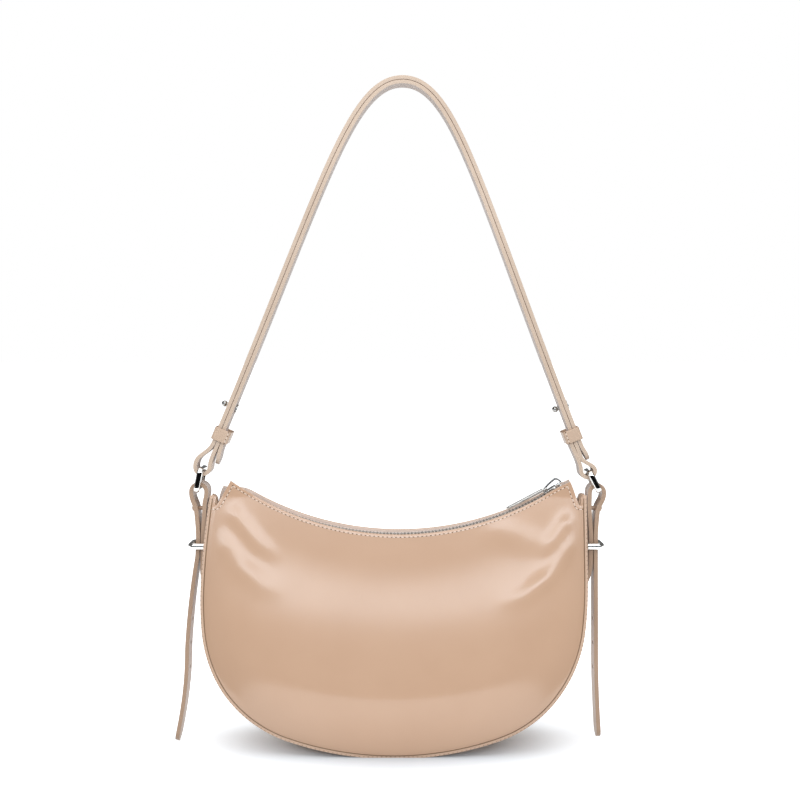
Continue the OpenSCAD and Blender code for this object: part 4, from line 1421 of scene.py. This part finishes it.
def shoulder_strap():
    outer = joined(lane_point(-1, 2, -5), upper_loop(-1, 1, 0)[::-1], ARCH, free_tail(1, 1))
    second = shifted(ARCH, -STRAP_LANE)
    second = second[second[:, 1] > KEEPER_Z + KEEPER_FOOT + 4]
    inner = joined(lane_point(1, 2, -5), lane_point(1, 2, -KEEPER_FOOT),
                   upper_loop(1, 2, LOOP_HOLD), lane_jog(1), second[::-1],
                   lane_jog(-1)[::-1], free_tail(-1, 3))[::-1]
    for name, path, node in (("outer_strip", outer, "outer_strap"),
                             ("inner_strip", inner, "inner_strap")):
        piece = strip(name, path, thickness=STRAP_T - 0.15, edge=0.4,
                      materials=(STRAP_SKIN, SHOULDER_EDGE, SUEDE),
                      round_start=name == "inner_strip", round_end=name == "outer_strip")
        place_piece(piece, "shoulder_strap", "leather", node)
    glue = shifted(ARCH, -STRAP_LANE / 2)
    glue = glue[glue[:, 1] > KEEPER_Z + KEEPER_FOOT]
    line = strip("strap_glue_line", glue, width=STRAP_W - 0.25, thickness=0.5, edge=0.1,
                 materials=(GLUE, GLUE, GLUE))
    place_piece(line, "shoulder_strap", "leather")


def strap_keeper(side):
    """A closed leather band round the strap's layers, with three stitches in its front."""
    grown = KEEPER_ROOM + KEEPER_WALL
    deep = STRAP_W + grown
    ring = rounded_rectangle(2 * STRAP_LANE + STRAP_T + grown, deep, 1.5, 6)
    out, up = run_out(side), run_dir(side)

    def shape(u, v):
        at = along(ring, u)
        rise = (v - 0.5) * KEEPER_H
        return np.stack([side * KEEPER_X + at[:, 0] * out[0] + rise * up[0], at[:, 1],
                         KEEPER_Z + at[:, 0] * out[1] + rise * up[1]], 1)

    obj = cloth_grid(f"strap_band_{HAND[side]}", 72, 6, shape)
    face_out(obj, merge=0.00001)
    sheet(obj, (STRAP_SKIN, STRAP_EDGE_SHADED), KEEPER_WALL, edge=0.45, rim_slot=1, rounds=3)
    place_piece(obj, f"keeper_{HAND[side]}", "leather", f"strap_keeper_{HAND[side]}")
    front = -(deep + KEEPER_WALL) / 2 + 0.02
    ends = [vec(side * KEEPER_X, KEEPER_Z) - 4.4 * out + rise * up for rise in (-4.2, 4.2)]
    path = np.array([(e[0], front, e[1]) for e in ends])
    sew(f"band_seam_{HAND[side]}", path, np.tile([0.0, -1.0, 0.0], (2, 1)),
        f"keeper_{HAND[side]}", pitch=2.75)


shoulder_strap()
for hand_side in HAND:
    strap_keeper(hand_side)

for node_name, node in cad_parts.items():
    if not node.hide_render:
        dress(node, BOARD if node_name == "base_board" else STUD_STEEL_DARKENED)


# Floor, light and camera

def light_path(tree, first, *others):
    """One where the ray is of any of these kinds, else nought."""
    rays = add_node(tree, "LightPath").outputs
    last = rays[first]
    for kind in others:
        last = worked(tree, "MAXIMUM", last, rays[kind])
    return last


# Half sizes of the floor's painted shadow ellipse round the bag, in metres, and where it fades out
# in shares of them
SHADOW_SPREAD = (0.079, 0.046, 1.0)
SHADOW_FADE = (0.9, 2.6)


def floor():
    """Pale paper that glows for camera, mirror and transmission rays. The glow is nought in an
    ellipse round the bag and rises to white further out, so the ellipse is a painted shadow beside
    the bag, over its real shadow.
    """
    clear_selection()
    bpy.ops.mesh.primitive_plane_add(size=60)
    obj = named(bpy.context.object, "floor")
    material, tree, shader = new_material("floor_paper")
    spread = add_node(tree, "VectorMath", operation="DIVIDE")
    feed(tree, spread, {0: object_place(tree), 1: SHADOW_SPREAD})
    far = add_node(tree, "VectorMath", {0: spread.outputs[0]}, operation="LENGTH")
    fade = ranged(tree, far.outputs["Value"], SHADOW_FADE)
    seen = light_path(tree, "Is Camera Ray", "Is Glossy Ray", "Is Transmission Ray")
    feed(tree, shader, {
        # painted shadow: the glow fades out towards the bag
        "Emission Strength": worked(tree, "MULTIPLY", fade, seen),
        "Emission Color": (1, 1, 1, 1), "Base Color": (0.78, 0.82, 0.86, 1), "Roughness": 1.0,
        "Specular IOR Level": 0.0})
    dress(obj, material)


def dark_cards():
    """Black cards before the bag, one upright and one on the floor, which only polished metal
    and gloss mirror."""
    material, tree, shader = new_material("dark_card_paint")
    feed(tree, shader, {"Base Color": (0.01, 0.01, 0.01, 1), "Specular IOR Level": 0.0})
    for name, near, low, far, high in (("upright_card", -1900, -400, -1900, 700),
                                       ("floor_card", -420, 2, -1900, 2)):
        clear_selection()
        bpy.ops.mesh.primitive_plane_add(size=1)
        obj = named(bpy.context.object, name)
        set_points(obj, [(x, y, z) for y, z in ((near, low), (far, high)) for x in (-2600, 2600)])
        dress(obj, material)
        obj.visible_camera = False
        obj.visible_diffuse = False
        obj.visible_shadow = False


def lamp(name, place, aim, size, power, height=None, colour=(1, 1, 1)):
    data = bpy.data.lights.new(name, "AREA")
    data.energy = power
    data.color = colour
    data.shape = "RECTANGLE" if height else "SQUARE"
    data.size = size
    if height:
        data.size_y = height
    obj = bpy.data.objects.new(name, data)
    obj.location = place
    obj.rotation_euler = (Vector(aim) - Vector(place)).to_track_quat("-Z", "Y").to_euler()
    bpy.context.scene.collection.objects.link(obj)
    return obj


SKY_FILL = 0.40
SKY_MIRRORED = 0.16


def studio():
    scene = bpy.context.scene
    scene.view_settings.view_transform = "Standard"
    world = bpy.data.worlds.new("studio")
    scene.world = world
    world.use_nodes = True
    tree = world.node_tree
    sky = ranged(tree, light_path(tree, "Is Glossy Ray"), (0, 1, SKY_FILL, SKY_MIRRORED))
    seen = light_path(tree, "Is Camera Ray", "Is Transmission Ray")
    feed(tree, tree.nodes["Background"], {"Color": (1, 1, 1, 1),
                                          "Strength": ranged(tree, seen, (0, 1, sky, 1))})
    lamp("front_strip", (0, -1.35, 0.66), (0, 0, 0.12), 2.6, 10.6, 0.21, (0.84, 0.92, 1.0))
    lamp("front_key", (0, -0.62, 0.84), (0, 0, 0.17), 1.1, 2.5, 0.3)
    lamp("top_box", (0, -0.1, 1.8), (0, 0, 0.2), 1.6, 12.5)


CAMERA_SIDE = 0.00223
CAMERA_DISTANCE = 0.888
CAMERA_HEIGHT = 0.290
FOCAL = 1193 / 800
SENSOR = 36
SHIFT_UP = -0.06


def camera():
    data = bpy.data.cameras.new("camera")
    data.sensor_width = SENSOR
    data.lens = FOCAL * SENSOR
    data.shift_y = SHIFT_UP
    data.clip_start = 0.05
    obj = bpy.data.objects.new("camera", data)
    obj.location = (CAMERA_SIDE, -CAMERA_DISTANCE, CAMERA_HEIGHT)
    obj.rotation_euler = (math.radians(90), 0, 0)
    bpy.context.scene.collection.objects.link(obj)
    bpy.context.scene.camera = obj


floor()
dark_cards()
studio()
camera()
